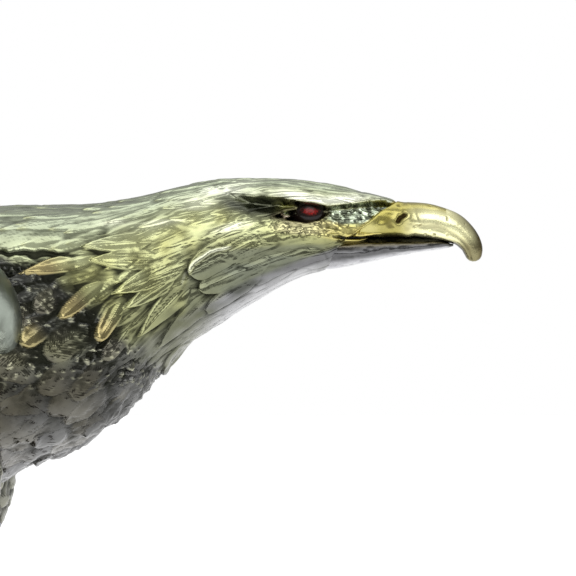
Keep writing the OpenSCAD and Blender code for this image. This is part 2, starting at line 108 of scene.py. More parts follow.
def noise(p, size, seed):
    """Smooth noise from -1 to 1 at points p (..., 3), with lumps about `size` apart; size may differ per axis."""
    q = p / np.asarray(size, float)
    base = np.floor(q).astype(np.int64)
    f = q - base
    f = f * f * (3 - 2 * f)
    total = np.zeros(q.shape[:-1])
    for corner in np.ndindex(2, 2, 2):
        wx, wy, wz = (f[..., i] if corner[i] else 1 - f[..., i] for i in range(3))
        total += wx * wy * wz * lattice(*(base[..., i] + corner[i] for i in range(3)), seed)
    return total * 2 - 1


def line_gap(x, z, points):
    """Signed distance in side view from (x, z) to a line through the points, positive on its left."""
    best, sign = np.full(x.shape, 1e9), np.ones(x.shape)
    for (ax, az), (bx, bz) in zip(points, points[1:]):
        dx, dz = bx - ax, bz - az
        u = np.clip(((x - ax) * dx + (z - az) * dz) / (dx * dx + dz * dz), 0, 1)
        d = np.hypot(x - ax - u * dx, z - az - u * dz)
        near = d < best
        best = np.where(near, d, best)
        sign = np.where(near, np.where(dx * (z - az) - dz * (x - ax) >= 0, 1, -1), sign)
    return best * sign


def inside(x, z, outline):
    """Distance inside a closed outline in side view, negative outside it."""
    closed = outline + outline[:1]
    gap = np.abs(line_gap(x, z, closed))
    within = np.zeros(x.shape, bool)
    for (ax, az), (bx, bz) in zip(closed, closed[1:]):
        within ^= ((az > z) != (bz > z)) & (x < (bx - ax) * (z - az) / (bz - az + 1e-12) + ax)
    return np.where(within, gap, -gap)


def box_mean(values, k, axis):
    """Mean over k neighbours each way; rows stop at the ends, columns go round."""
    pad = [(0, 0), (0, 0)]
    pad[axis] = (k + 1, k)
    total = np.cumsum(np.pad(values, pad, mode="wrap" if axis else "edge"), axis=axis)
    n, wide = values.shape[axis], 2 * k + 1
    high = np.take(total, np.arange(wide, wide + n), axis=axis)
    return (high - np.take(total, np.arange(n), axis=axis)) / wide


def rgb(r, g, b):
    return np.array([r, g, b], float)


def mix(a, b, share):
    share = np.asarray(share)[..., None]
    return a * (1 - share) + b * share


# ---------------------------------------------------------------- mesh making

FIELDS = ("cavity", "along", "across", "barb")


def mirrored(rings, side):
    """The left side's rings as they are, or mirrored for the right side with their turning kept."""
    return rings if side > 0 else rings[:, ::-1] * (1, -1, 1)


def flipped(values, side):
    """Values of the left side's rings in the order of `mirrored`."""
    return values if side > 0 or np.ndim(values) < 2 else values[:, ::-1]


class Build:
    """Collects lofted solids, in millimetres, into one Blender mesh with its colour and relief values."""

    def __init__(self):
        self.points, self.quads, self.tris, self.tone = [], [], [], []
        self.values = {f: [] for f in FIELDS}
        self.count = 0

    def loft(self, rings, tone, side=1, **values):
        """Rings (rows, columns, 3) of the left side, each anticlockwise seen from the next, closed by end fans."""
        rings = mirrored(rings, side)
        rows, cols = rings.shape[:2]
        r, c = np.meshgrid(np.arange(rows - 1), np.arange(cols), indexing="ij")
        a = (r * cols + c).ravel() + self.count
        b = (r * cols + (c + 1) % cols).ravel() + self.count
        self.quads.append(np.stack([a, b, b + cols, a + cols], 1))
        points, spare = [rings.reshape(-1, 3)], []
        i = np.arange(cols)
        for row, backward in ((0, True), (rows - 1, False)):
            first = self.count + rows * cols + len(spare)
            ends = (first + i, first + (i + 1) % cols)
            self.tris.append(np.stack([np.full(cols, first + cols), *(ends[::-1] if backward else ends)], 1))
            spare += [row * cols + j for j in range(cols)] + [row * cols]
            points += [rings[row], rings[row].mean(0)[None]]
        self.points.append(np.concatenate(points))
        tones = np.broadcast_to(flipped(tone, side), (rows, cols, 3)).reshape(-1, 3)
        self.tone.append(np.concatenate([tones, tones[spare]]))
        for f in FIELDS:
            v = np.broadcast_to(flipped(values.get(f, 0.0), side), (rows, cols)).astype(float).ravel()
            self.values[f].append(np.concatenate([v, v[spare]]))
        self.count += rows * cols + len(spare)

    def piece(self, name, material, node, slot, lift=PERCH):
        """Makes the mesh into a piece that stands for a CAD node."""
        points, quads, tris = (np.concatenate(part) for part in (self.points, self.quads, self.tris))
        points[:, 2] += lift
        mesh = bpy.data.meshes.new(name)
        mesh.vertices.add(len(points))
        mesh.vertices.foreach_set("co", (points * MM).astype(np.float32).ravel())
        mesh.loops.add(quads.size + tris.size)
        mesh.loops.foreach_set("vertex_index", np.concatenate([quads.ravel(), tris.ravel()]).astype(np.int32))
        mesh.polygons.add(len(quads) + len(tris))
        starts = np.concatenate([np.arange(len(quads)) * 4, quads.size + np.arange(len(tris)) * 3])
        mesh.polygons.foreach_set("loop_start", starts.astype(np.int32))
        mesh.update(calc_edges=True)
        mesh.shade_smooth()
        rgba = np.ones((len(points), 4), np.float32)
        rgba[:, :3] = np.concatenate(self.tone)
        mesh.attributes.new("tone", "FLOAT_COLOR", "POINT").data.foreach_set("color", rgba.ravel())
        for f in FIELDS:
            values = np.concatenate(self.values[f]).astype(np.float32)
            mesh.attributes.new(f, "FLOAT", "POINT").data.foreach_set("value", values)
        mesh.materials.append(material)
        piece = bpy.data.objects.new(name, mesh)
        bpy.context.scene.collection.objects.link(piece)
        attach(piece, "root")
        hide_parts(node)


# ---------------------------------------------------------------- relief on a skin

class Sheet:
    """A skin of points, rows forward and columns round, that feathers and creases are modelled on in relief.

    `crowding` says how many times closer than average the columns stand where they are closest.
    """

    def __init__(self, points, crowding=1.0):
        self.p = points
        self.rows, self.cols = points.shape[:2]
        forward = np.gradient(points, axis=0)
        around = np.roll(points, -1, axis=1) - np.roll(points, 1, axis=1)
        normal = np.cross(around, forward)
        self.n = normal / np.maximum(np.linalg.norm(normal, axis=-1, keepdims=True), 1e-9)
        self.back = -forward / np.maximum(np.linalg.norm(forward, axis=-1, keepdims=True), 1e-9)
        self.row_gap = np.linalg.norm(forward, axis=-1).mean(1)
        self.col_gap = np.linalg.norm(around, axis=-1).mean(1) / 2 / crowding
        # height, place on its feather in mm and as a share, nearness to its rim, and each feather's own values
        (self.h, self.along, self.across, self.share, self.edge,
         self.barb, self.mark, self.tint) = np.zeros((8, self.rows, self.cols))

    def feather(self, row, col, way, length, half, lift, form="lance", barb=0.0, mark=0.0):
        """Raises one feather, rooted at a grid point and pointing along the vector `way`, over what lies behind it."""
        n = self.n[row, col]
        way = way - n * np.dot(way, n)
        way = way / np.linalg.norm(way)
        side = np.cross(n, way)
        reach = length + half
        dr = int(reach / max(self.row_gap[row], 0.05)) + 3
        dc = min(int(reach / max(self.col_gap[row], 0.05)) + 3, self.cols // 3)
        r = np.arange(max(0, row - dr), min(self.rows, row + dr + 1))
        box = np.ix_(r, np.arange(col - dc, col + dc + 1) % self.cols)
        d = self.p[box] - self.p[row, col]
        s, t = d @ way / length, d @ side / half
        u = np.clip(s, 0, 1)
        if form == "lance":
            width = np.minimum(1, (u / 0.22 + 0.02) ** 0.6) * (1 - np.clip((u - 0.35) / 0.65, 0, 1) ** 2.0)
        else:
            width = np.minimum(1, (u / 0.3 + 0.05) ** 0.5) * np.sqrt(np.clip(1 - u**5, 0, 1))
        rim = (width - np.abs(t)) * half
        edge = 1 - np.clip(1 - rim / 0.55, 0, 1) ** 2
        tip = np.clip((1 - u) * length / 0.6, 0, 1)
        crown = 1 - 0.4 * np.clip(np.abs(t), 0, 1) ** 2
        shaft = 0.16 * np.exp(-(t * half / 0.3) ** 2) * np.sin(np.pi * np.clip(u, 0, 1))
        h = lift * (0.12 + 0.88 * u**1.1) * (0.55 * crown + 0.45 * edge) * (0.35 + 0.65 * edge) * (0.7 + 0.3 * tip)
        h = h + lift * (shaft + 0.16 * t * np.clip(rim / half, 0, 0.5) * 2)
        near = (np.abs(d @ n) < 0.6 * reach) & (self.n[box] @ n > 0.1)
        take = near & (s > 0) & (s < 1) & (rim > 0) & (h > self.h[box])
        for field, value in (("h", h), ("along", s * length), ("across", t * half), ("share", u),
                             ("edge", np.clip(rim / half, 0, 1)), ("barb", barb), ("mark", mark),
                             ("tint", rng.random())):
            whole = getattr(self, field)
            whole[box] = np.where(take, value, whole[box])

    def find(self, x, z, side):
        """Grid point nearest to (x, z) on one flank."""
        d = (self.p[..., 0] - x) ** 2 + (self.p[..., 2] - z) ** 2 + np.where(self.p[..., 1] * side > 0, 0, 1e6)
        return np.unravel_index(np.argmin(d), d.shape)

    def cavity(self, reach):
        """How far the relief stands over (positive) or under its surroundings within `reach` mm."""
        blur = self.h
        for axis, gaps in enumerate((self.row_gap, self.col_gap)):
            k = max(1, int(reach / float(np.median(gaps))))
            blur = box_mean(box_mean(blur, k, axis), k, axis)
        return self.h - blur

    def cast(self, tone, reach, side=1, gain=1.0, rows=slice(None)):
        """A build that holds the relief, or some rows of it, for the left side or mirrored for the right."""
        build = Build()
        fields = [f[rows] for f in (self.cavity(reach) * gain, self.along, self.across, self.barb)]
        build.loft((self.p + self.n * self.h[..., None])[rows], tone[rows], side, **dict(zip(FIELDS, fields)))
        return build


# ---------------------------------------------------------------- bird: body, neck and head

# Outline, rump to brow: [x, back line, belly line, half width].
BODY = [
    [-96, 102.5, 90, 11], [-80, 108.5, 84, 18], [-55, 119, 74, 27.5], [-25, 129.8, 66.5, 35.5],
    [5, 137.5, 64.5, 38], [30, 141.7, 69.5, 36.5], [50, 143.4, 77.7, 31.5], [62, 143.4, 82.4, 27],
    [72, 144.2, 88.4, 22], [80, 145.5, 96.4, 18.5], [85, 146.7, 102.2, 16], [92, 148.5, 108.4, 13.8],
    [100, 149.9, 113.6, 12.2], [110, 150.4, 119.8, 11.2], [120, 150, 125.2, 10.2],
    [130, 148.6, 128.2, 8.7], [138, 146.4, 130.6, 6.8], [147, 143.2, 132.5, 4.8],
]
RUMP, FACE_END = -92, 146.5
# The neck joint's plane: x and z of a point on it, and its tilt.
COLLAR = (57.5, 122.5, math.radians(38))
TORSO_ROWS, HEAD_ROWS, ROUND = 330, 430, 600

# Lines of the face in side view, as (x, z).
BROW = [(100, 147.2), (103.5, 146.3), (109, 145), (116, 144.6), (120.5, 143.9), (127, 142.9), (133.3, 143.4),
        (138, 143.9), (142, 144.1), (145.5, 143.2)]
EYE, EYE_CORNER = (122.6, 141.2), (117.4, 140.9)
EYE_SLOT = [(114.2, 140.6), (116.5, 142.0), (120, 142.7), (124, 142.6), (127.6, 141.6), (125.5, 139.9),
            (122, 139.1), (118, 139.5)]
GAPE = [(118, 136.8), (124, 136.9), (128, 136.2), (131.1, 135.3), (136, 134.8), (142, 135.5), (147, 135.6)]
CERE = [(130.8, 135.2), (134.9, 137.5), (138, 139.6), (140.7, 141.9), (144.6, 143.9)]
UNDERSIDE = [(62, 101), (70, 105), (78, 108.6), (86, 112.4), (93, 117.4), (102, 122.4), (109.5, 126.2),
             (120.7, 130.2), (130.7, 133.2), (140, 134)]
CHEEK_RIM = [(91.3, 123.4), (92.2, 126), (94.6, 129.2), (98.6, 131.9), (104.5, 133.2)]
LOW_CHEEK = CHEEK_RIM + [(112, 133.7), (121, 134.2), (131, 134.4)]
JAW = [(84, 118), (96, 124), (108, 129.5), (118, 132.6), (128, 133.4), (136, 132.6)]
FLANK_GAP = [(20, 133), (45, 131.2), (66, 130.6), (72, 131.5)]
# Height under which the neck's long hackles give way to the body's contour feathers: x, then z.
HACKLE_LINE = [8, 30, 44, 58, 66, 76, 86, 94], [150, 138, 130, 127, 119, 111, 102, 90]

# Feathers that stand out on each flank: [root x, root z, length, half width, dip, lift, form, brown of its tip].
HERO = [
    [72, 131, 22, 2.6, 23, 1.7, "lance", 1], [66.2, 122.9, 12.5, 3.2, 28, 1.5, "round", 0.1],
    [72.3, 124.1, 14.6, 2.2, 39, 2.1, "round", 1], [77.1, 119.6, 11.6, 2.5, 53, 2.2, "round", 1],
    [60.7, 115.2, 9.8, 3, 35, 1.8, "round", 0.8], [80, 114.7, 12, 2.8, 44, 1.5, "round", 0.1],
    [84.4, 134.5, 18, 2.8, 10, 1.1, "lance", 0], [86.8, 129.8, 19, 2.8, 3, 1.2, "lance", 0],
    [92.8, 129, 21, 3, 21, 1.2, "lance", 0], [94, 124, 19, 3, 34, 1.2, "lance", 0],
    [100, 122, 21, 3, 42, 1.0, "lance", 0], [90, 125.5, 16, 2.4, 27, 1.3, "lance", 0],
    [111, 135.5, 20, 4.6, 27, 0.85, "round", 0], [113, 130, 19, 3.4, 23, 0.8, "round", 0],
    [111, 126.4, 17, 2.6, 35, 1.0, "round", 0],
]


def body_point(x, angle):
    top, bottom, half = (smooth(BODY, x, k) for k in (1, 2, 3))
    c, s = np.cos(angle), np.sin(angle)
    boxy = 1 - 0.14 * span(x, 100, 118, 138, 150)
    return np.stack([x, half * np.sign(c) * np.abs(c) ** boxy,
                     (top + bottom) / 2 + (top - bottom) / 2 * np.sign(s) * np.abs(s) ** boxy], -1)


def collar_x(angle):
    """Where the neck joint's plane cuts the body, for each angle round it, by halving."""
    cx, cz, tilt = COLLAR
    low, high = np.full(angle.shape, 20.0), np.full(angle.shape, 100.0)
    for _ in range(30):
        x = (low + high) / 2
        over = (x - cx) * math.sin(tilt) + (body_point(x, angle)[..., 2] - cz) * math.cos(tilt) > 0
        high, low = np.where(over, x, high), np.where(over, low, x)
    return (low + high) / 2


def bird_skin():
    angle = np.linspace(0, 2 * np.pi, ROUND, endpoint=False)
    joint = collar_x(angle)
    rows = [RUMP + (joint - RUMP) * (i / TORSO_ROWS) for i in range(TORSO_ROWS)]
    rows += [joint + (FACE_END - joint) * (i / (HEAD_ROWS - 1)) for i in range(HEAD_ROWS)]
    return np.stack([body_point(x, angle) for x in rows])


def shape_face(sheet):
    """Brow, socket, eyelids, cheek, gape and jaw, pushed along the skin's normals."""
    x, z = sheet.p[..., 0], sheet.p[..., 2]
    flank = np.clip(np.abs(sheet.n[..., 1]) * 1.4, 0, 1)
    over, gape, cere = (line_gap(x, z, line) for line in (BROW, GAPE, CERE))
    slot = inside(x, z, EYE_SLOT)
    brow = span(x, 101, 113, 143, 146.5)
    d = 1.9 * brow * np.where(over > 0, np.exp(-(over / 3.2) ** 2), np.exp(-(over / 0.35) ** 2))
    under = np.clip(-over, 0, None)
    d -= brow * (0.8 + 1.2 * step(134, 125, x)) * (1 - np.exp(-(under / 0.4) ** 2)) * np.exp(-(under / 3.4) ** 2)
    d += 1.1 * bump(x, 106, 11) * bump(z, 136, 6.5) + 0.7 * bump(x, 128, 9) * bump(z, 135.8, 2.6)
    d -= 0.7 * step(86, 96, x) * bump(line_gap(x, z, JAW), 0, 1.4)
    d += 0.45 * step(122, 130, x) * bump(gape, 1.1, 0.7) - step(126, 132, x) * bump(gape, 0, 0.42)
    d -= 2.6 * step(135, 141, x) * step(0.1, -0.5, gape) * step(131.6, 133, z)
    d += 0.5 * bump(slot, -0.5, 0.6) - 3.0 * step(-0.1, 0.6, slot) + 2.9 * patch(x, z, EYE_CORNER, (1.7, 0.9), 4)
    d += 0.22 * bump(line_gap(x, z, CHEEK_RIM), 0, 0.32) * span(x, 91, 92.5, 102, 106)
    under_beak = step(0.2, 1.4, -cere) * step(126.5, 131, x)
    sheet.p = sheet.p + sheet.n * (flank * d - 1.3 * under_beak)[..., None]
    return slot, gape, cere


def column_row(sheet, col, x):
    """Row of one column at which the skin reaches x."""
    return int(np.clip(np.searchsorted(sheet.p[:, col, 0], x), 1, sheet.rows - 2))


def droop(sheet, row, col, amount):
    """The backward way along the skin, turned down the flank by `amount` radians."""
    back, n = sheet.back[row, col], sheet.n[row, col]
    down = np.array([0, 0, -1.0]) + n * n[2]
    size = np.linalg.norm(down)
    return back * math.cos(amount) + down / size * math.sin(amount) if size >= 0.2 else back


def contour_feathers(sheet):
    """Round feathers on the body, in staggered rows from the rump forward."""
    x, band = -92.0, 0
    while x < 86:
        size = float(np.interp(x, [-92, -60, 0, 60, 84], [9, 12, 16, 15, 11]))
        girth = sheet.col_gap[int((x - RUMP) / (FACE_END - RUMP) * sheet.rows * 0.8)] * sheet.cols
        count = max(8, int(girth / (size * 0.5)))
        for k in range(count):
            col = int((k + band * 0.5 + rng.normal(0, 0.14)) / count * sheet.cols) % sheet.cols
            row = column_row(sheet, col, x + rng.normal(0, 0.12) * size + size * 0.5)
            way = droop(sheet, row, col, rng.normal(0.15, 0.18))
            here, _, height = sheet.p[row, col]
            length = size * (0.95 + 0.4 * rng.random())
            if height < np.interp(here, *HACKLE_LINE):
                lift = 0.85 - 0.6 * float(step(108, 96, height) * step(-10, 40, x))
                sheet.feather(row, col, way, length, size * 0.3, lift, "round", 0.3, 0.1)
        x += size * 0.5
        band += 1


def hackles(sheet):
    """Long lances from the neck's end forward, growing finer towards the head."""
    golden, rings = 0.618, 17
    for ring in range(rings):
        reach = ring / (rings - 1)
        size, half, lift = (a * (1 - reach) + b * reach for a, b in ((23, 8), (2.7, 1.2), (1.15, 0.4)))
        base = 40 + 70 * reach
        count = int(float(np.interp(base, [40, 70, 85, 100, 112], [220, 150, 115, 95, 88])) / (half * 2.2))
        for k in range(count):
            share = (k + ring * golden + rng.normal(0, 0.22)) / count
            angle = 2 * np.pi * share
            low = max(0.0, -math.sin(angle))
            near = base + 27 * low ** 1.5 * (1 - reach) + rng.normal(0, size * 0.16)
            if near > 117:
                continue
            col = int(share * sheet.cols) % sheet.cols
            row = column_row(sheet, col, near)
            x, _, z = sheet.p[row, col]
            if z < np.interp(x, *HACKLE_LINE) + 3:
                continue
            dip = (0.26 * (1 - reach) + 0.05) * abs(math.cos(angle)) + rng.normal(0, 0.09)
            proud = lift * (0.45 + 0.55 * step(133, 124, z) * step(96, 84, x))
            sheet.feather(row, col, droop(sheet, row, col, dip), size * (0.75 + 0.5 * rng.random()),
                          half * (0.8 + 0.4 * rng.random()), proud * (0.8 + 0.4 * rng.random()))


def breast_tufts(sheet):
    """Feathers that break the breast's outline, and a larger one under the throat."""
    bottom = 0.75
    for x in (92, 86, 79, 72, 64, 55, 46, 36, 26):
        for _ in range(5):
            col = int((bottom + rng.normal(0, 0.035)) * sheet.cols) % sheet.cols
            row = column_row(sheet, col, x + rng.normal(0, 1.5))
            way = sheet.back[row, col] + rng.normal(0, 0.12, 3)
            sheet.feather(row, col, way, 9 + 5 * rng.random(), 2.6 + 1.2 * rng.random(), 1.4, "round", 0.2)
    col = int(bottom * sheet.cols)
    row = column_row(sheet, col, 93.5)
    sheet.feather(row, col, sheet.back[row, col], 11, 5.5, 2.0, "round")


def hero_feathers(sheet):
    for side in SIDES.values():
        for x, z, length, half, dip, lift, form, mark in HERO:
            row, col = sheet.find(x, z, side)
            way = np.array([-math.cos(math.radians(dip)), 0, -math.sin(math.radians(dip))])
            sheet.feather(row, col, way, length, half, lift, form, 0, mark)


def engrave(sheet, marks):
    """Fine cut lines, beads and pits on top of the feathers' relief."""
    slot, _, cere, over = marks
    p = sheet.p
    x, y, z = (p[..., i] for i in range(3))
    rows = np.arange(sheet.rows)[:, None] / sheet.rows
    angle = np.arange(sheet.cols)[None] / sheet.cols + noise(p, 11, 21) * 0.012 + noise(p, 30, 22) * 0.02

    def cuts(across, along, seed):
        """Thin winding lines, 1 along their middles."""
        q = np.stack([across, along, x * 0], -1)
        return np.clip(1 - np.abs(noise(q, 1, seed)) - 0.84, 0, 1) / 0.16

    hair = 0
    for lanes, depth, length, seed in ((56, 0.30, 0.07, 5), (96, 0.14, 0.06, 6), (34, 0.42, 0.08, 7)):
        hair = hair - depth * cuts(angle * lanes, np.broadcast_to(rows / length, x.shape), seed)
    crown = step(92, 108, x) * step(0.15, 0.3, sheet.n[..., 2] + 0.4 * step(100, 90, x))
    fine = 0.2 + 0.35 * np.maximum(crown, 0.5 * step(96, 112, x))
    sheet.h += hair * fine * step(40, 60, x) * step(-0.15, -0.9, slot)
    beside_shaft = cuts(sheet.across / 0.8 + sheet.tint * 60, sheet.along / 16, 51)
    sheet.h -= 0.11 * beside_shaft * (sheet.barb < 0.2) * step(0.02, 0.2, sheet.edge) * (sheet.along > 0)
    # skin of small beads round the eye and on the lores
    beads = noise(p, 0.75, 31) * 0.6 + noise(p, 0.5, 32) * 0.4
    around_eye = step(5.0, 2.6, np.hypot((x - 123) / 2.6, z - 138.6)) * step(-0.2, -0.6, slot)
    lores = step(126, 129, x) * span(over, -5.0, -4.0, -1.0, -0.5) * step(-0.4, 0.2, cere)
    sheet.h += beads * 0.32 * np.clip(around_eye * step(141.5, 139.5, z) + lores * 1.2, 0, 1)
    # rough cast skin between and on the dark feathers
    low = step(112, 98, z) * step(96, 84, x)
    sheet.h += (noise(p, 1.3, 41) + noise(p, 0.7, 42)) * 0.18 * low + noise(p, 3.2, 43) * 0.75 * low
    granules = np.clip(noise(p, 0.85, 45) - 0.05, 0, 1) * 1.1 + np.clip(noise(p, 0.6, 46) - 0.1, 0, 1) * 0.5
    line = np.interp(x, *HACKLE_LINE)
    where = step(line + 3, line - 3, z) * step(92, 102, z) * step(0, 30, x) * step(0.3, 0.1, sheet.mark)
    sheet.h += 1.5 * granules * where * (0.35 + 0.65 * (sheet.share == 0) + 0.3 * step(0.5, 0.1, sheet.share))
    sheet.h += noise(p, 2.2, 44) * 0.10 * step(96, 112, z)
    # shadow gap along the flank under the upper neck's feathers
    gap = line_gap(x, z, FLANK_GAP) + noise(p, (9, 9, 4), 47) + 0.9 * noise(p, 2.0, 48)
    sheet.h -= 1.1 * bump(gap, 0, 0.8) * span(x, 10, 30, 60, 69) * (np.abs(y) > 5)


# The silver is a painted sheen: laid where the skin faces up, on the bright beads of the lores and on the glint at the
# eye's corner.
GOLD, PALE, SILVER_SHEEN = rgb(0.34, 0.34, 0.14), rgb(0.46, 0.49, 0.27), rgb(0.30, 0.345, 0.265)
# The grey and the ash are painted reflections of the pale floor, laid on skin that faces down.
OLIVE, DARK, FLOOR_LIT_GREY = rgb(0.12, 0.125, 0.068), rgb(0.040, 0.041, 0.039), rgb(0.077, 0.077, 0.077)
FLOOR_REFLECTION, GILT, BROWN = rgb(0.40, 0.40, 0.41), rgb(0.50, 0.43, 0.14), rgb(0.30, 0.245, 0.10)
# Painted highlight spots on the neck: [x, z, half length, half height].
HIGHLIGHT_SPOTS = [(89, 140.6, 6.5, 1.7), (100.5, 146.2, 8, 2.0), (76, 139.6, 4.5, 1.1), (104, 138, 4, 1)]


def paint_body(sheet, marks, up):
    """Colour of each point of the skin: gilt face edge, olive-gold head and neck, brown lance tips, dark body.

    Painted highlights, glints, shade and floor reflection are laid over these colours. `up` is how far the plain skin,
    without feathers, faces up.
    """
    slot, gape, cere, over = marks
    x, z = sheet.p[..., 0], sheet.p[..., 2]
    slow = noise(sheet.p, 9, 3) * 0.5 + noise(sheet.p, 3.5, 4) * 0.5
    streak = noise(sheet.p, (9, 3, 2.2), 8)
    blotch = noise(sheet.p, (6, 6, 3.2), 9)
    # dark body, lighter where it faces down with a painted reflection of the pale floor
    body = mix(DARK, OLIVE, np.clip(0.15 + 0.6 * slow, 0, 1) * step(92, 114, z))
    body = mix(body, FLOOR_LIT_GREY, step(-0.1, -0.55, up) * 0.85)
    # random blotches, times painted shade on the low body wherever it does not face down
    shade = (1 + 0.6 * blotch * step(112, 100, z)) * (1 - 0.55 * step(108, 97, z) * step(-0.75, -0.35, up))
    body = mix(body * shade[..., None], FLOOR_REFLECTION * 0.65, step(-0.6, -1.0, up) * 0.7)
    # gold neck and head, with a painted silver sheen where the skin faces up, painted shade low on the side, slate
    # under the neck and painted floor reflection where it faces down
    head = mix(GOLD, PALE, np.clip(0.4 + slow * 0.8, 0, 1))
    head = mix(head, SILVER_SHEEN, step(0.25, 0.85, up) * 0.8)
    # painted shade: olive on the lower side of the head and neck, where the skin faces sideways or down
    shaded_low_side = step(0.45, 0.0, up) * step(140, 132, z)
    head = mix(head, OLIVE, np.clip(shaded_low_side * (0.7 + 0.5 * streak), 0, 1) * step(84, 100, x + 0.5 * (136 - z)))
    head = mix(head, GOLD, 0.5 * step(0.75, 1.0, sheet.share) * step(100, 80, x))
    below = line_gap(x, z, UNDERSIDE)
    slate = mix(rgb(0.065, 0.068, 0.062), rgb(0.20, 0.20, 0.21), np.clip(0.45 + 0.9 * streak, 0, 1))
    # the ash lightens the lower throat: painted reflection of the floor
    slate = mix(slate, FLOOR_REFLECTION, step(1.5, 6.0, -below) * step(92, 104, x) * 0.5)
    head = mix(head, slate, step(1.4, -1.2, below + 1.2 * streak) * step(70, 84, x))
    # painted floor reflection where the skin faces down, slate further forward under the jaw
    head = mix(head, mix(FLOOR_REFLECTION, slate, step(118, 130, x)), step(-0.5, -0.9, up) * step(84, 100, x))
    head = mix(head, rgb(0.12, 0.12, 0.125), step(0.6, -0.2, np.abs(below + 1.3) - 0.9) * step(112, 122, x))
    # where hackles end and the dark body starts
    neck = step(-4, 4, z - np.interp(x, *HACKLE_LINE) - 2 + slow * 4) * step(20, 44, x + slow * 6)
    neck = np.maximum(neck, step(92, 104, x + slow * 3))
    tone = mix(body, head, neck)

    def coat(colour, share):
        nonlocal tone
        tone = mix(tone, colour, share)

    under_cheek = step(0.0, 1.4, -line_gap(x, z, LOW_CHEEK)) * step(-1.5, 1.0, below) * span(x, 91.5, 94, 124, 130)
    coat(rgb(0.12, 0.13, 0.095), under_cheek * np.clip(0.8 - 0.5 * streak, 0, 1))
    # painted highlight: a pale line along the rim of the cheek feather
    coat(rgb(0.70, 0.72, 0.58), 0.6 * bump(line_gap(x, z, CHEEK_RIM), 0, 0.24) * span(x, 91, 92.5, 102, 104.5))
    # painted highlights, broken up by the streaks
    for px, pz, long, high in HIGHLIGHT_SPOTS:
        spot = patch(x, z - 0.25 * (x - px), (px, pz), (long, high))
        coat(rgb(0.80, 0.82, 0.64), spot * step(-0.3, 0.4, streak) * 0.7)
    # painted highlight: a pale band along the crown over the brow's back end
    crest_highlight = np.exp(-((x - 101) / 7.5) ** 4 - ((z - 147.1) / 1.0) ** 2)
    coat(rgb(0.84, 0.86, 0.72), crest_highlight * step(-0.6, 0.1, streak) * 0.85)
    coat(OLIVE, neck * step(104, 92, x) * (0.14 * step(144, 138, z) + 0.42 * step(124, 116, z)))
    # painted glints: pale specks on the granules of the dark body
    glint_specks = step(0.5, 0.68, noise(sheet.p, 0.85, 45)) * span(z, 96, 106, 122, 128) * step(30, 46, x)
    coat(rgb(0.34, 0.34, 0.24), glint_specks * (1 - neck) * step(0.3, 0.1, sheet.mark) * 0.6)
    coat(BROWN, np.clip(sheet.mark * step(0.2, 0.8, sheet.share), 0, 1) * 0.75)
    # brow: a painted highlight along its top, painted shadow under its edge and behind the eye
    side = np.abs(sheet.n[..., 1]) > 0.2
    brow = span(x, 102, 110, 143, 147) * side
    coat(rgb(0.84, 0.86, 0.75), brow * bump(over, 1.5, 1.2) * 0.8 * (0.25 + 0.75 * span(x, 112, 119, 133, 139)))
    coat(rgb(0.05, 0.054, 0.046), 0.95 * span(x, 97, 104, 113, 118) * bump(over, -2.6, 2.7) * side)
    edge = np.where(over < 0, bump(over, -0.4, 0.6 + 2.0 * step(120, 107, x)), bump(over, 0, 0.3))
    coat(rgb(0.045, 0.048, 0.038), brow * edge * (0.9 - 0.4 * step(116, 104, x)))
    # painted glints: the lores' beads, bright silver on the high ones
    beads = mix(0.5, 1.9, step(-0.15, 0.35, noise(sheet.p, 0.75, 31)))
    coat(SILVER_SHEEN * beads, step(126, 129, x) * span(over, -5.0, -4.2, -1.15, -0.75) * 0.9)
    # eyelids, the skin under the eye, and gilt along the mouth and beak
    coat(rgb(0.06, 0.05, 0.03), (slot < 0) * bump(slot, -0.3, 0.7) * 0.85)
    coat(rgb(0.42, 0.39, 0.22), step(1.25, 0.7, np.hypot((x - 122.5) / 8.5, (z - 137.9) / 1.9)) * 0.75)
    coat(GILT, step(122, 130, x) * step(2.8, 1.6, np.abs(gape - 1.0)) * 0.6)
    coat(GILT, step(0.5, 0.0, cere) * step(130, 134, x) * 0.9)
    # socket, with the eye's corner and a painted glint on it, and painted shadow along the mouth
    coat(DARK * 0.35, step(-0.1, 0.3, slot))
    coat(rgb(0.34, 0.28, 0.21), patch(x, z, EYE_CORNER, (1.6, 0.85), 4) * (slot > -0.2))
    coat(SILVER_SHEEN * 3.0, patch(x, z, (117.6, 141.3), (0.7, 0.35)) * (slot > -0.2))
    # painted shadow along the gape and in the gap between the beaks
    coat(DARK * 0.4, step(127, 131.5, x) * step(0.55, 0.15, np.abs(gape + 0.1)))
    coat(DARK * 0.4, step(135, 141, x) * step(0.3, -0.1, gape) * step(131.8, 133, z))
    return tone


# ---------------------------------------------------------------- materials

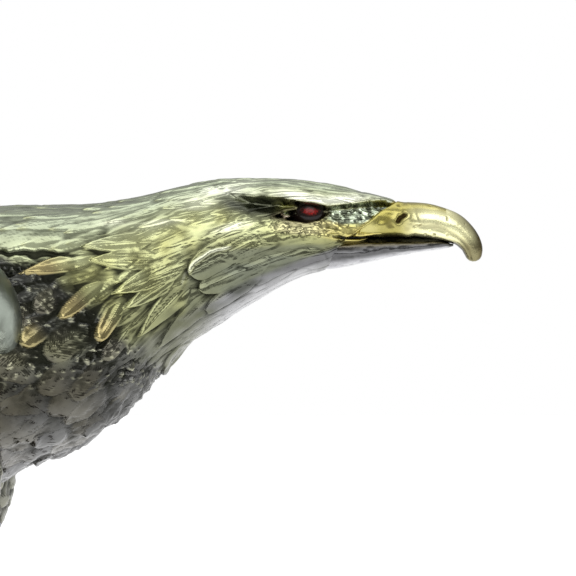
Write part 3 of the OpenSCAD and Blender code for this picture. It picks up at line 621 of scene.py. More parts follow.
class Graph:
    """The nodes of a material or of the world, each made, set and linked in one call."""

    def __init__(self, owner):
        owner.use_nodes = True
        self.nodes, self.links = owner.node_tree.nodes, owner.node_tree.links

    def put(self, socket, value):
        """Links a socket to another node's output, or sets it; three numbers are a colour."""
        if isinstance(value, bpy.types.NodeSocket):
            self.links.new(value, socket)
        elif isinstance(value, tuple) and socket.type == "RGBA":
            socket.default_value = (*value, 1)
        else:
            socket.default_value = value

    def set(self, **sockets):
        """Sets sockets of the material's shader, by name."""
        for key, value in sockets.items():
            self.put(self.nodes["Principled BSDF"].inputs[key.replace("_", " ")], value)

    def math(self, kind, *values, clamp=False):
        node = self.nodes.new("ShaderNodeMath")
        node.operation, node.use_clamp = kind, clamp
        for socket, value in zip(node.inputs, values):
            self.put(socket, value)
        return node.outputs[0]

    def mix(self, kind, share, a, b):
        node = self.nodes.new("ShaderNodeMix")
        node.data_type, node.blend_type = "RGBA", kind
        for k, value in ((0, share), (6, a), (7, b)):
            self.put(node.inputs[k], value)
        return node.outputs[2]

    def attribute(self, name, output="Fac"):
        node = self.nodes.new("ShaderNodeAttribute")
        node.attribute_name = name
        return node.outputs[output]

    def noise(self, scale, detail, roughness=0.6):
        """Noise over the object; three scales, per metre, stretch it."""
        where = self.nodes.new("ShaderNodeTexCoord").outputs["Object"]
        if isinstance(scale, tuple):
            mapping = self.nodes.new("ShaderNodeMapping")
            mapping.inputs["Scale"].default_value = scale
            self.links.new(where, mapping.inputs["Vector"])
            where, scale = mapping.outputs["Vector"], 1
        node = self.nodes.new("ShaderNodeTexNoise")
        for key, value in (("Scale", scale), ("Detail", detail), ("Roughness", roughness), ("Vector", where)):
            self.put(node.inputs[key], value)
        return node.outputs["Fac"]

    def ramp(self, value, *stops):
        """Colour stops (place, colour); a lone number is a grey."""
        node = self.nodes.new("ShaderNodeValToRGB")
        elements = node.color_ramp.elements
        while len(elements) < len(stops):
            elements.new(0.5)
        for element, (place, colour) in zip(elements, stops):
            element.position = place
            element.color = (*(colour if isinstance(colour, tuple) else (colour,) * 3), 1)
        self.links.new(value, node.inputs["Fac"])
        return node.outputs["Color"]

    def bump(self, height, strength, distance):
        """Roughens the shader's surface by a height, `distance` mm high."""
        relief = self.nodes.new("ShaderNodeBump")
        for key, value in (("Strength", strength), ("Distance", distance * MM), ("Height", height)):
            self.put(relief.inputs[key], value)
        self.set(Normal=relief.outputs["Normal"])


def painted(name, **sockets):
    material = bpy.data.materials.new(name)
    graph = Graph(material)
    graph.set(**sockets)
    return material, graph


def bronze(name, gain, pit, low_rough, high_rough, grain=1.0, metallic=1.0):
    """Patinated bronze: its colour comes from the piece, worn pale on raised edges and dark in the hollows."""
    material, g = painted(name, Metallic=metallic)
    tone, cavity = g.attribute("tone", "Color"), g.attribute("cavity")
    mottle, fine = g.noise(230, 4, 0.55), g.noise(900, 3)
    worn = g.math("ADD", g.math("MULTIPLY_ADD", cavity, 2.0, -0.15), g.math("MULTIPLY_ADD", mottle, 0.5, 0.5))
    hollow = g.math("MULTIPLY", cavity, -3.2, clamp=True)
    varied = g.mix("MULTIPLY", 0.4, tone, g.ramp(mottle, (0.3, 0.45), (0.7, 1.25)))
    rubbed = g.mix("MULTIPLY", 1.0, g.mix("ADD", 1.0, tone, (0.02, 0.02, 0.015)), (gain, gain, gain))
    bright = g.mix("MIX", g.math("MULTIPLY", worn, 0.6, clamp=True), varied, rubbed)
    rough = g.math("MULTIPLY_ADD", fine, high_rough - low_rough, low_rough)
    g.set(Base_Color=g.mix("MIX", g.math("MULTIPLY", hollow, 0.93), bright, pit),
          Roughness=g.math("ADD", rough, g.math("MULTIPLY", hollow, 0.35), clamp=True))
    # barbs: slanting cuts each side of the shaft, from the piece's own feather coordinates
    slant = g.math("ADD", g.attribute("along"), g.math("ABSOLUTE", g.attribute("across")))
    wave = g.math("MULTIPLY", g.math("SINE", g.math("MULTIPLY", slant, 7.5)), g.attribute("barb"))
    g.bump(g.math("MULTIPLY_ADD", fine, 0.9 * grain, g.math("MULTIPLY", wave, 0.45)), 0.55, 0.16)
    return material


def eye_glass():
    """Glass eye, red round a dark pupil; `along` holds the distance from its middle."""
    # The iris glows faintly in its own colour: painted light.
    material, g = painted("eye_glass", Roughness=0.14, IOR=1.45, Specular_IOR_Level=0.3, Emission_Strength=0.03)
    streaks = g.math("MULTIPLY_ADD", g.noise(2600, 3), 4.0, -0.95)
    radius = g.math("MULTIPLY", g.math("ADD", g.attribute("along"), streaks), 0.2)
    iris = g.ramp(radius, (0.10, (0.01, 0.001, 0.001)), (0.24, (0.15, 0.006, 0.005)), (0.40, (0.28, 0.013, 0.011)),
                  (0.54, (0.08, 0.008, 0.006)), (0.68, (0.010, 0.006, 0.005)))
    g.set(Base_Color=iris, Emission_Color=iris)
    return material


def wood():
    material, g = painted("plinth_wood", Coat_Weight=0.35, Coat_Roughness=0.15)
    figure = g.noise((9, 70, 110), 6)
    rings = g.math("MULTIPLY_ADD", g.math("SINE", g.math("MULTIPLY", figure, 38.0)), 0.25, figure)
    colour = g.ramp(rings, (0.2, (0.020, 0.008, 0.004)), (0.5, (0.075, 0.030, 0.012)), (0.85, (0.16, 0.068, 0.028)))
    pores = g.ramp(g.noise((120, 1500, 1500), 3, 0.7), (0.56, 0.0), (0.66, 1.0))
    g.set(Base_Color=g.mix("MIX", g.math("MULTIPLY", pores, 0.6), colour, (0.012, 0.005, 0.003)),
          Roughness=g.ramp(rings, (0.2, 0.42), (0.85, 0.28)))
    g.bump(g.math("MULTIPLY", pores, -1.0), 0.4, 0.1)
    return material


def felt():
    material, g = painted("felt", Roughness=1.0, Sheen_Weight=0.5, Sheen_Roughness=0.5)
    fibre, clump = g.noise(1400, 6, 0.8), g.noise(160, 3)
    pile = g.math("MULTIPLY_ADD", fibre, 0.6, g.math("MULTIPLY", clump, 0.4))
    g.set(Base_Color=g.ramp(pile, (0.3, (0.006, 0.025, 0.012)), (0.75, (0.025, 0.075, 0.040))))
    g.bump(fibre, 0.6, 0.3)
    return material


def steel():
    material, g = painted("steel", Metallic=1.0)
    brushed, spots = g.noise((300, 300, 2500), 4), g.noise(500, 5, 0.7)
    g.set(Base_Color=g.ramp(spots, (0.35, (0.34, 0.33, 0.31)), (0.6, (0.58, 0.58, 0.57))),
          Roughness=g.ramp(brushed, (0.3, 0.25), (0.7, 0.42)))
    g.bump(brushed, 0.3, 0.05)
    return material


SKIN_PIT = (0.018, 0.019, 0.013)
HEAD_BRONZE = bronze("head_bronze", 1.5, SKIN_PIT, 0.16, 0.28, 0.45)
BODY_BRONZE = bronze("body_bronze", 1.5, SKIN_PIT, 0.16, 0.28, 0.45)
BEAK_BRONZE = bronze("beak_bronze", 1.12, (0.10, 0.07, 0.02), 0.20, 0.32, 0.7, 0.8)
WING_BRONZE = bronze("wing_bronze", 1.6, (0.016, 0.016, 0.012), 0.26, 0.42, 0.9)
FOOT_BRONZE = bronze("foot_bronze", 1.7, (0.02, 0.016, 0.008), 0.24, 0.38, 0.7)
CRAG_BRONZE = bronze("crag_bronze", 1.8, (0.024, 0.023, 0.018), 0.34, 0.55, 1.8)
EYE_GLASS, WOOD, FELT, STEEL = eye_glass(), wood(), felt(), steel()


def bird():
    plain = Sheet(bird_skin())
    face = shape_face(plain)
    sheet = Sheet(plain.p)
    x, z = sheet.p[..., 0], sheet.p[..., 2]
    marks = (*face, line_gap(x, z, BROW))
    contour_feathers(sheet)
    hackles(sheet)
    breast_tufts(sheet)
    hero_feathers(sheet)
    engrave(sheet, marks)
    tone = paint_body(sheet, marks, plain.n[..., 2])
    calm = 1 - 0.7 * step(110, 96, z) * step(98, 84, x)
    for node, rows, slot, material in (("torso", slice(0, TORSO_ROWS + 1), "body_bronze", BODY_BRONZE),
                                       ("head_and_neck", slice(TORSO_ROWS, None), "head_bronze", HEAD_BRONZE)):
        sheet.cast(tone, 1.6, gain=calm, rows=rows).piece(f"{node}_casting", material, node, slot)


# ---------------------------------------------------------------- beak and eyes

# Side view of the beak's rings: [x, z, tilt in degrees, height over, height under, half width].
UPPER_BEAK = [
    [127, 140.6, 0, 7.6, 4.2, 8.4], [134, 140.4, 0, 6.9, 4.6, 7.5], [140, 140, 0, 5.6, 4.3, 6.3],
    [145, 139.8, 0, 4.35, 4.1, 5.4], [150, 139.6, -2, 4.2, 3.9, 4.6], [154.5, 139.2, -10, 3.9, 4, 3.9],
    [158.3, 137.9, -27, 3.6, 3.5, 3.2], [161.3, 135.6, -52, 3.3, 2.2, 2.5], [163.1, 133.2, -80, 2.8, 1.9, 2],
    [163.6, 131.3, -98, 2.2, 1.5, 1.5], [163.6, 130.3, -105, 1.3, 1, 0.95], [163.55, 129.9, -105, 0.3, 0.3, 0.3],
]
LOWER_BEAK = [
    [123, 131.4, 0, 1.6, 3.6, 5.2], [129, 131.9, 0, 2.1, 4.2, 5.9], [135, 132.3, 0, 2.2, 3.5, 5.9],
    [140, 132.6, 0, 1.9, 2.7, 5.3], [145, 132.9, 0, 1.5, 1.9, 4.6], [151, 133.3, 0, 0.95, 1.3, 3.7],
    [156, 133.6, 0, 0.55, 0.9, 2.6], [159, 133.7, 0, 0.25, 0.3, 1],
]
NOSTRIL = [(145.0, 139.5), (145.6, 140.3), (146.6, 140.9)]
HORN = [(148.6, 136), (150.6, 139), (149.4, 141.5), (148, 143.6)]


def beak_rings(table, rows, cols, square):
    """Rings of a beak, the angle of each column and the share of each row."""
    share = np.linspace(0, 1, rows)[:, None] ** 0.9
    angle = np.linspace(0, 2 * np.pi, cols, endpoint=False)[None]
    x, z, tilt, over, under, half = along_rows(table, share)
    tilt, c, s = np.radians(tilt), np.cos(angle), np.sin(angle)
    rise = np.where(s > 0, over, under) * np.sign(s) * np.abs(s) ** square
    rings = (x - rise * np.sin(tilt), half * np.sign(c) * np.abs(c) ** square, z + rise * np.cos(tilt))
    return np.stack(np.broadcast_arrays(*rings), -1), angle, share


def bumps(angle, places, width):
    """Bumps at some places round a ring, in degrees."""
    return sum(bump(np.degrees(angle), place, width) for place in places)


def upper_beak():
    points, angle, share = beak_rings(UPPER_BEAK, 260, 220, 0.86)
    sheet = Sheet(points)
    x, z = points[..., 0], points[..., 2]
    flank = np.clip(np.abs(sheet.n[..., 1]) * 1.5, 0, 1)
    hole, horn = np.abs(line_gap(x, z, NOSTRIL)), line_gap(x, z, HORN)
    d = 0.4 - 4.4 * step(-0.1, 0.9, line_gap(x, z, CERE)) * step(150, 145, x)
    d = d + 0.2 * bumps(angle, (322, 218), 16) * step(0.98, 0.6, share)
    d -= 0.15 * flank * bumps(angle, (348, 192), 12) * step(0.1, 0.3, share)
    d += flank * (0.18 * bump(hole, 1.0, 0.6) - 1.2 * bump(hole, 0, 0.4))
    d += 0.12 * step(-0.3, 0.4, horn) * step(156, 152, x)
    wrinkle = noise(points, (2.2, 3, 1.1), 61) * 0.22 * step(-0.4, 1.0, horn)
    pits = np.clip(noise(points, 1.1, 62) - 0.62, 0, 1) * -0.9
    sheet.h = d + wrinkle + pits + noise(points, 4, 63) * 0.12
    gilt, butter, edge = rgb(0.34, 0.30, 0.07), rgb(1.0, 0.97, 0.56), rgb(0.10, 0.08, 0.03)
    tone = mix(gilt, butter, np.clip(step(145, 152, x) + 0.2 * noise(points, 3, 64), 0, 1))
    tone = mix(tone, gilt, step(0.35, 0.85, sheet.n[..., 2] * (x < 157)) * 0.9)
    tone = mix(tone, edge * 0.7, step(0.1, 0.85, sheet.n[..., 0]) * step(155, 160, x))
    # painted shadow along the mouth line, dark on down to the hook's tip
    tone = mix(tone, edge, step(136.3, 133, z) * 0.85)
    # painted shade in the nostril
    tone = mix(tone, edge * 0.45, bump(hole, 0, 0.5) * flank)
    # painted shade on the beak's underside, inside the mouth
    tone = mix(tone, edge * 0.2, step(-0.55, -0.95, np.sin(angle)) * step(1.0, 0.85, share))
    sheet.cast(tone, 0.9).piece("upper_beak_casting", BEAK_BRONZE, "upper_beak", "beak_bronze")


def lower_beak():
    points, angle, share = beak_rings(LOWER_BEAK, 160, 160, 0.9)
    s = np.sin(angle)
    points[..., 2] += 2.2 * np.clip(s, 0, 1) ** 3 * step(0.99, 0.8, share)
    sheet = Sheet(points)
    lip = bumps(angle, (26, 154), 13)
    sheet.h = 0.3 * lip * step(1, 0.85, share) + noise(points, (3.5, 2, 0.9), 65) * 0.16 + noise(points, 0.8, 66) * 0.07
    # light grey where it faces down: painted reflection of the floor
    tone = mix(rgb(0.09, 0.09, 0.095), rgb(0.38, 0.38, 0.40), step(-0.35, -0.85, s))
    tone = mix(tone, rgb(0.07, 0.06, 0.035), np.clip(lip, 0, 1))
    # near black on top and at the tip: painted shade inside the mouth and under the hook
    tone = mix(tone, rgb(0.03, 0.03, 0.025), np.maximum(step(0.62, 0.8, s), step(0.9, 0.97, share)))
    sheet.cast(tone, 0.8).piece("lower_beak_casting", HEAD_BRONZE, "lower_beak", "lower_beak_bronze")


def eyes():
    radius, look = 4.4, (0.10, 0.99, 0.05)
    seat = abs(body_point(np.array(EYE[0]), np.array(0.0))[1]) - 0.2
    lat = np.linspace(math.pi * 0.98, 0.01, 60)[:, None]
    lon = np.linspace(0, 2 * np.pi, 72, endpoint=False)[None]
    # distance from the iris's middle, drawn out to the front and back, and out of range behind
    from_iris = radius * np.sin(lat) * np.hypot(np.cos(lon), 2.3 * np.sin(lon) + 0.35) + np.where(np.cos(lat) > 0, 0, 9)
    for name, side in SIDES.items():
        out = np.array(look) * (1, side, 1)
        out /= np.linalg.norm(out)
        u = np.cross(out, [0, 0, 1.0])
        u /= np.linalg.norm(u)
        ring = (np.sin(lat) * np.cos(lon))[..., None] * u + (np.sin(lat) * np.sin(lon))[..., None] * np.cross(out, u)
        centre = np.array([EYE[0] + 0.3, side * (seat - radius), EYE[1] + 0.2])
        build = Build()
        build.loft(centre + radius * (ring + np.cos(lat)[..., None] * out), rgb(0.3, 0, 0), along=from_iris)
        build.piece(f"{name}_eye_glass", EYE_GLASS, f"{name}_eye", "eye_glass")


# ---------------------------------------------------------------- feather blades

def blade(build, side, place, length, half, tone, lean=0.22):
    """One free feather: a thin vane on its shaft, with a few splits at its edges.

    `place` turns share of the length, mm across and mm off the sheet into a point of the left side.
    """
    rows, cols = 44, 20
    s = (1 - (1 - np.linspace(0, 1, rows)) ** 1.6)[:, None]
    turn = 2 * np.pi * np.arange(cols) / cols
    edge = np.sign(np.cos(turn)) * np.abs(np.cos(turn)) ** 0.8
    width = half * (0.8 + 0.2 * s) * np.sqrt(np.clip(1 - s**8, 0.003, 1)) * np.minimum(1, 0.35 + 4 * s)
    for _ in range(3):
        split, face = 0.35 + 0.6 * rng.random(), rng.choice((-1, 1))
        width = width * (1 - 0.16 * bump(s, split, 0.018) * (edge * face > 0.2))
    across = edge * width
    shaft = across + lean * half * (1 - 0.4 * s)
    spine = bump(shaft, 0, 0.75) * (1 - 0.7 * s)
    rise = np.sign(np.sin(turn)) * np.abs(np.sin(turn)) ** 0.5 * (0.34 + 0.42 * spine)
    points = place(s, across, 0.35 - 0.5 * (across / half) ** 2 + rise)
    cavity = 0.35 * spine + 0.3 * np.abs(edge) ** 6 - 0.5 * step(0.3, 0.0, s) + 0.15 * step(0.8, 1, s)
    build.loft(points, mix(tone * 0.55, tone * 1.25, step(0.05, 0.9, s)), side,
               cavity=cavity, along=s * length, across=shaft, barb=1)


def feather_tone(low, high, least, spread):
    return mix(low, high, least + spread * rng.random())


# ---------------------------------------------------------------- wings

# Wing arm in its unrolled plane: [share of the wing's length, front x, rear x, half thickness].
WING = [
    [0, 54, -42, 15], [0.04, 53, -45, 13.5], [0.08, 49, -48, 12], [0.18, 39.5, -50, 8.6], [0.3, 31, -50, 6.6],
    [0.45, 29, -48, 5], [0.58, 20, -44, 3.8], [0.68, 8, -36, 2.8], [0.76, -6, -26, 2], [0.79, -12, -20, 1.4],
]
WING_ROOT, WING_LEN, ARM_END = (27, 118), 236, 0.79
WING_SLOPE = (math.radians(25), math.radians(80))
WING_DARK, WING_OLIVE, WING_GOLD = rgb(0.075, 0.075, 0.062), rgb(0.17, 0.175, 0.12), rgb(0.30, 0.30, 0.18)


def wing_point(p, x, h):
    """A point of the left wing: p out along its curved sheet, x along the body, h off the sheet."""
    low, high = WING_SLOPE
    a = low + (high - low) * p / WING_LEN
    r = WING_LEN / (high - low)
    return np.stack(np.broadcast_arrays(
        x, WING_ROOT[0] + r * (np.sin(a) - math.sin(low)) - h * np.sin(a),
        WING_ROOT[1] + r * (math.cos(low) - np.cos(a)) + h * np.cos(a)), -1)


def arm_height(t, x, face=0):
    """Height off the wing's sheet of the arm's upper (face 1) or lower (face -1) side, or of its middle."""
    t = np.clip(t, 0, ARM_END)
    front, rear, thick = (smooth(WING, t, k) for k in (1, 2, 3))
    s = np.clip((front - x) / (front - rear), 0, 1)
    arch = 4.8 * np.sin(np.pi * np.minimum(1, 1.3 * t)) * np.sin(np.pi * s) - 4.5 * (1 - s) ** 6 * step(0.12, 0.0, t)
    return arch + face * (0.8 + (thick - 0.8) * (1 - s) ** 1.3) * np.sqrt(1 - np.exp(-11 * s))


def arm_sheet():
    """The wing's arm with its small coverts, row by row from behind the leading edge."""
    t = np.linspace(0, ARM_END, 280)[:, None]
    w = np.arange(280) / 280
    front, rear = smooth(WING, t, 1), smooth(WING, t, 2)
    x = front - (front - rear) * (1 - np.cos(2 * np.pi * w)) / 2
    sheet = Sheet(wing_point(t * WING_LEN, x, arm_height(t, x, np.where(w < 0.5, -1, 1))), 1.7)
    for face in (1, -1):
        for band in range(9):
            chord, size = 0.66 - 0.078 * band, 16 - 0.9 * band
            w0 = math.acos(1 - 2 * chord) / (2 * np.pi)
            p = 3 + size * 0.21 * (band % 2)
            while p < 0.765 * WING_LEN:
                row = int(p / (ARM_END * WING_LEN) * (sheet.rows - 1))
                col = int((1 - w0 if face > 0 else w0) * sheet.cols + rng.normal(0, 1)) % sheet.cols
                turn = math.radians(6 + 56 * (p / WING_LEN) ** 1.4 + rng.normal(0, 5))
                way = np.array([-math.cos(turn), 0, 0]) - sheet.back[row, col] * math.sin(turn)
                length = size * (0.95 + 0.3 * rng.random())
                sheet.feather(row, col, way, length, size * 0.31, 1.5 - 0.08 * band, "round", 0.8)
                p += size * 0.44
    sheet.h += noise(sheet.p, 1.2, 71) * 0.14 + noise(sheet.p, 4, 72) * 0.3
    sheet.h *= 1 - 0.9 * step(0.42, 0.46, np.abs(w - 0.5)) * step(0.14, 0.07, t)
    return sheet


def wing(arm, name, side):
    slow = noise(arm.p, 10, 73) * 0.5 + 0.5
    tone = mix(WING_DARK, WING_OLIVE, slow)
    tone = mix(tone, WING_GOLD, 0.6 * step(0.6, 1, arm.share) + 0.3 * slow * (arm.share > 0))
    edge = step(0.36, 0.46, np.abs(np.linspace(0, 1, arm.cols, endpoint=False) - 0.5))
    shoulder = 0.35 + 0.65 * step(60, 30, np.arange(arm.rows))[:, None]
    build = arm.cast(mix(tone, rgb(0.25, 0.28, 0.245), edge * shoulder * 0.9), 1.6, side)

    def feather(t, x, degrees, length, half, tone, tilt, face, lift, rise=0):
        """One blade rooted at share t of the wing, `lift` mm off that face of the arm and `rise` more at its tip."""
        turn = math.radians(degrees)

        def place(s, c, h):
            out = WING_LEN * t + s * length * math.sin(turn) - c * math.cos(turn)
            back = x - s * length * math.cos(turn) - c * math.sin(turn)
            return wing_point(out, back, arm_height(out / WING_LEN, back, face) + lift + rise * s + tilt * c + h)

        blade(build, side, place, length, half, tone)

    for u in np.arange(10) / 9:
        shade = feather_tone(WING_DARK, WING_OLIVE, 0.5, 0.4)
        feather(0.5 + 0.21 * u, 8 - 14 * u, 14 + 56 * u, 98 - 30 * u**3, 7.6, shade, -0.13, 0, 0.8 + u)
    for u in np.arange(11) / 10:
        shade = feather_tone(WING_DARK, WING_OLIVE, 0.5, 0.4)
        feather(0.05 + 0.44 * u, -20 + 20 * u, 14 * u - 4, 56 + 38 * u, 7, shade, -0.13, 0, 1.2 - 0.4 * u)
    for face in (1, -1):
        for u in np.arange(22) / 21:
            t = 0.02 + 0.70 * u
            x = smooth(WING, t, 2) + 0.40 * (smooth(WING, t, 1) - smooth(WING, t, 2))
            shade = feather_tone(WING_OLIVE, WING_GOLD, 0.3, 0.5)
            feather(t, x, -4 + 66 * u**1.3, 38 - 6 * u, 5.6, shade, -0.08 * face, face, 0.35 * face, 1.5 * face)
    for i in range(3):
        t = 0.60 + 0.035 * i
        feather(t, smooth(WING, t, 1) - 5, 34 + 8 * i, 30 - 3 * i, 3.6, WING_GOLD, -0.1, 1, 0.5, 1.2)
    build.piece(f"{name}_wing_casting", WING_BRONZE, f"{name}_wing", "wing_bronze")


# ---------------------------------------------------------------- tail

# Tail root, rump to covert ends: [share of the tail's length, half width, half thickness, droop of edges].
TAIL = [[0, 11.8, 6.8, 0], [0.12, 15, 5.2, 0.8], [0.3, 19, 3.6, 2], [0.45, 20, 2.4, 3], [0.52, 12, 1, 2]]
TAIL_SEAT, TAIL_LEN, TAIL_SPREAD = (-92, 96.5), 112, 34
TAIL_SLOPE = math.tan(math.radians(14))
TAIL_GOLD = rgb(0.28, 0.28, 0.17)


def tail():
    seat_x, seat_z = TAIL_SEAT
    s = np.linspace(0, 0.515, 150)[:, None]
    a = 2 * np.pi * np.arange(260) / 260
    wide, thick, drop = (smooth(TAIL, s, k) for k in (1, 2, 3))
    z = seat_z - TAIL_LEN * s * TAIL_SLOPE - drop * np.cos(a) ** 2 + thick * np.sin(a)
    sheet = Sheet(np.stack(np.broadcast_arrays(seat_x - TAIL_LEN * s, -wide * np.cos(a), z), -1))
    for band in range(9):
        for k in range(14):
            row = int(4 + band * 11)
            col = int((k + 0.5 * (band % 2)) / 14 * sheet.cols) % sheet.cols
            way = -sheet.back[row, col] + rng.normal(0, 0.08, 3)
            sheet.feather(row, col, way, 13, 3.6, 1.2, "round", 0.6)
    sheet.h += noise(sheet.p, 1.2, 74) * 0.12
    tone = mix(WING_DARK, WING_OLIVE, noise(sheet.p, 8, 75) * 0.5 + 0.5)
    build = sheet.cast(mix(tone, TAIL_GOLD, 0.5 * step(0.6, 1, sheet.share)), 1.5)

    def fan(degrees, root, length, half, tone, root_lift, tip_lift):
        """One blade of the fan, rooted `root` mm back and lifted at root and tip."""
        turn, bow = math.radians(degrees), (2 * degrees / TAIL_SPREAD) ** 2

        def place(s, c, h):
            reach = root + s * length
            z = seat_z - reach * TAIL_SLOPE - 5 * bow * s + root_lift * (1 - s) + tip_lift * s
            return np.stack(np.broadcast_arrays(
                seat_x - reach * math.cos(turn), reach * math.sin(turn) - c,
                z - 0.1 * c * np.sign(-degrees) + h), -1)

        blade(build, 1, place, length, half, tone, 0.22 * np.sign(degrees))

    for i in range(12):
        degrees = (i / 11 - 0.5) * TAIL_SPREAD
        bow = (2 * degrees / TAIL_SPREAD) ** 2
        shade = feather_tone(WING_DARK, WING_OLIVE, 0.5, 0.4)
        fan(degrees, 0.3 * TAIL_LEN, 0.7 * TAIL_LEN - 3 * bow, 6.4, shade, 0.9 * (1 - bow), 0.9 * (1 - bow))
    for face in (1, -1):
        for root, length, spread in ((0.24, 34, 30), (0.08, 30, 24)):
            high = face * (0.9 * float(smooth(TAIL, root, 2)) + 0.4)
            for i in range(8):
                shade = feather_tone(WING_OLIVE, TAIL_GOLD, 0, 0.6)
                fan((i / 7 - 0.5) * spread, root * TAIL_LEN, length, 5.4, shade, high, 2.3 * face)
    build.piece("tail_casting", WING_BRONZE, "tail", "wing_bronze")


# ---------------------------------------------------------------- legs

# Thigh, top to shank: [z, centre x, centre y, half length, half width].
THIGH = [
    [92, 24, 16, 21, 13], [80, 25, 20, 22, 15.5], [70, 26, 22.5, 20, 14.5], [60, 26.5, 22.5, 15.5, 11.5],
    [50, 27, 21.8, 10.5, 8.6], [44, 27, 21, 7.8, 7], [41.5, 27, 21, 5.4, 5.4],
]
LEG = (27, 21, 0)
# Toes seen from above: [direction, length, lift of the knuckle].
TOES = [[-34, 22, 4], [2, 26, 4.8], [38, 22, 4], [176, 15, 3.4]]
TOE_R, CLAW_R, CLAW_LEN, CLAW_RISE, CLAW_TURN = 3.4, 2.3, 14, math.radians(30), math.radians(130)


def thigh(name, side):
    a = -2 * np.pi * np.arange(240) / 240
    z, cx, cy, long, wide = along_rows(THIGH, np.linspace(0, 1, 190)[:, None])
    sheet = Sheet(np.stack(np.broadcast_arrays(cx + long * np.cos(a), cy + wide * np.sin(a), z), -1))
    for band in range(13):
        row, size = 7 + band * 14, 13 - 0.35 * band
        count = max(7, int(sheet.col_gap[row] * sheet.cols / (size * 0.46)))
        for k in range(count):
            col = int((k + 0.5 * (band % 2) + rng.normal(0, 0.12)) / count * sheet.cols) % sheet.cols
            way = -sheet.back[row, col] + np.array([-0.25, 0, 0]) + rng.normal(0, 0.06, 3)
            form = "lance" if band > 8 else "round"
            sheet.feather(row, col, way, size, size * 0.26, 1.3 - 0.03 * band, form, 0.4)
    sheet.h += noise(sheet.p, 1.2, 76) * 0.16 + noise(sheet.p, 3, 77) * 0.2
    tone = mix(rgb(0.06, 0.06, 0.055), rgb(0.16, 0.16, 0.13), noise(sheet.p, 7, 78) * 0.5 + 0.5)
    tone = mix(tone, rgb(0.22, 0.22, 0.18), 0.6 * step(0.6, 1, sheet.share))
    sheet.cast(tone, 1.5, side).piece(f"{name}_thigh_casting", BODY_BRONZE, f"{name}_thigh", "body_bronze")


def scales(along, across, length, width):
    """Raised plates, 0 in the grooves between them and 1 on top, staggered row by row."""
    row = np.floor(along / length)
    u, v = along / length - row, across / width + 0.5 * (row % 2)
    v = v - np.floor(v)
    return np.clip(1 - np.abs(2 * u - 1) ** 5, 0, 1) * np.clip(1 - np.abs(2 * v - 1) ** 5, 0, 1)


def foot(name, side):
    """Scaled shank and toes, plated in front and on top, with horn claws."""
    build = Build()
    gold, horn, up = rgb(0.27, 0.24, 0.10), rgb(0.05, 0.048, 0.042), np.array([0, 0, 1.0])
    a = 2 * np.pi * np.arange(60) / 60

    def tube(path, radius, across_way, up_way, relief, tone):
        """Rings round a path, with relief off the round in mm."""
        r = radius + relief
        rings = path[:, None] + (r * np.cos(a))[..., None] * across_way + (r * np.sin(a))[..., None] * up_way
        build.loft(rings, tone, side, cavity=(r - box_mean(box_mean(r, 3, 0), 3, 1)) * 1.6)

    z = np.linspace(46, 1.2, 150)[:, None]
    radius = 5.1 + 2.1 * step(13, 2.5, z) * step(0.8, 2.4, z) - 1.2 * step(2.2, 1.2, z)
    front = np.clip(np.cos(a), 0, 1) ** 0.5
    plates = 0.42 * scales(z, a * 5, 3.4, 40) * front + 0.26 * scales(z, a * 5, 1.7, 1.9) * (1 - front)
    tube(np.array(LEG) + z * up, radius, np.array([1.0, 0, 0]), np.array([0, -1.0, 0]), plates, gold)
    for degrees, length, lift in TOES:
        way = math.radians(degrees)
        ahead = np.array([math.cos(way), math.sin(way), 0])
        left = np.array([-math.sin(way), math.cos(way), 0])
        s = np.linspace(0, 1, 90)[:, None]
        reach = length * s
        radius = TOE_R * (1 - 0.2 * s) * (1 + 0.1 * np.cos(4 * np.pi * s)) * (1 - 0.5 * step(0.94, 1, s))
        top = np.clip(np.sin(a), 0, 1) ** 0.6
        plates = 0.36 * scales(reach, a * 3, 2.3, 30) * top + 0.18 * scales(reach, a * 3.4, 1.2, 1.3) * (1 - top)
        knuckle = TOE_R + lift * np.sin(np.radians(150 * s))
        tube(np.array(LEG) + reach * ahead + knuckle * up, radius, left, up, plates, gold)
        s = np.linspace(0, 0.995, 60)[:, None]
        arc = CLAW_LEN / CLAW_TURN
        climb = CLAW_RISE - CLAW_TURN * s
        reach = length - 2 + arc * (math.sin(CLAW_RISE) - np.sin(climb))
        high = TOE_R + lift / 2 + arc * (np.cos(climb) - math.cos(CLAW_RISE))
        upward = (-np.sin(climb) * ahead + np.cos(climb) * up)[:, None]
        tube(np.array(LEG) + reach * ahead + high * up, CLAW_R * (1 - s) ** 0.7 + 0.2, left, upward,
             0.12 * bump(a, np.pi / 2, 0.5) * (1 - s), horn)
    build.piece(f"{name}_foot_casting", FOOT_BRONZE, f"{name}_foot", "foot_bronze")


# ---------------------------------------------------------------- base

def crag_side(a, t):
    """x and y of the crag's side towards angle a, in radians, at share t of its height."""
    waves = (3.2 * np.sin(3 * a + np.radians(150 * t)) + 2.4 * np.sin(5 * a + np.radians(40 - 210 * t))
             + 1.6 * np.sin(8 * a + np.radians(330 * t)))
    narrow = t**1.5
    return (76 + waves) * (1 - 0.33 * narrow) * np.cos(a) + 18 * t, (54 + 0.8 * waves) * (1 - 0.15 * narrow) * np.sin(a)


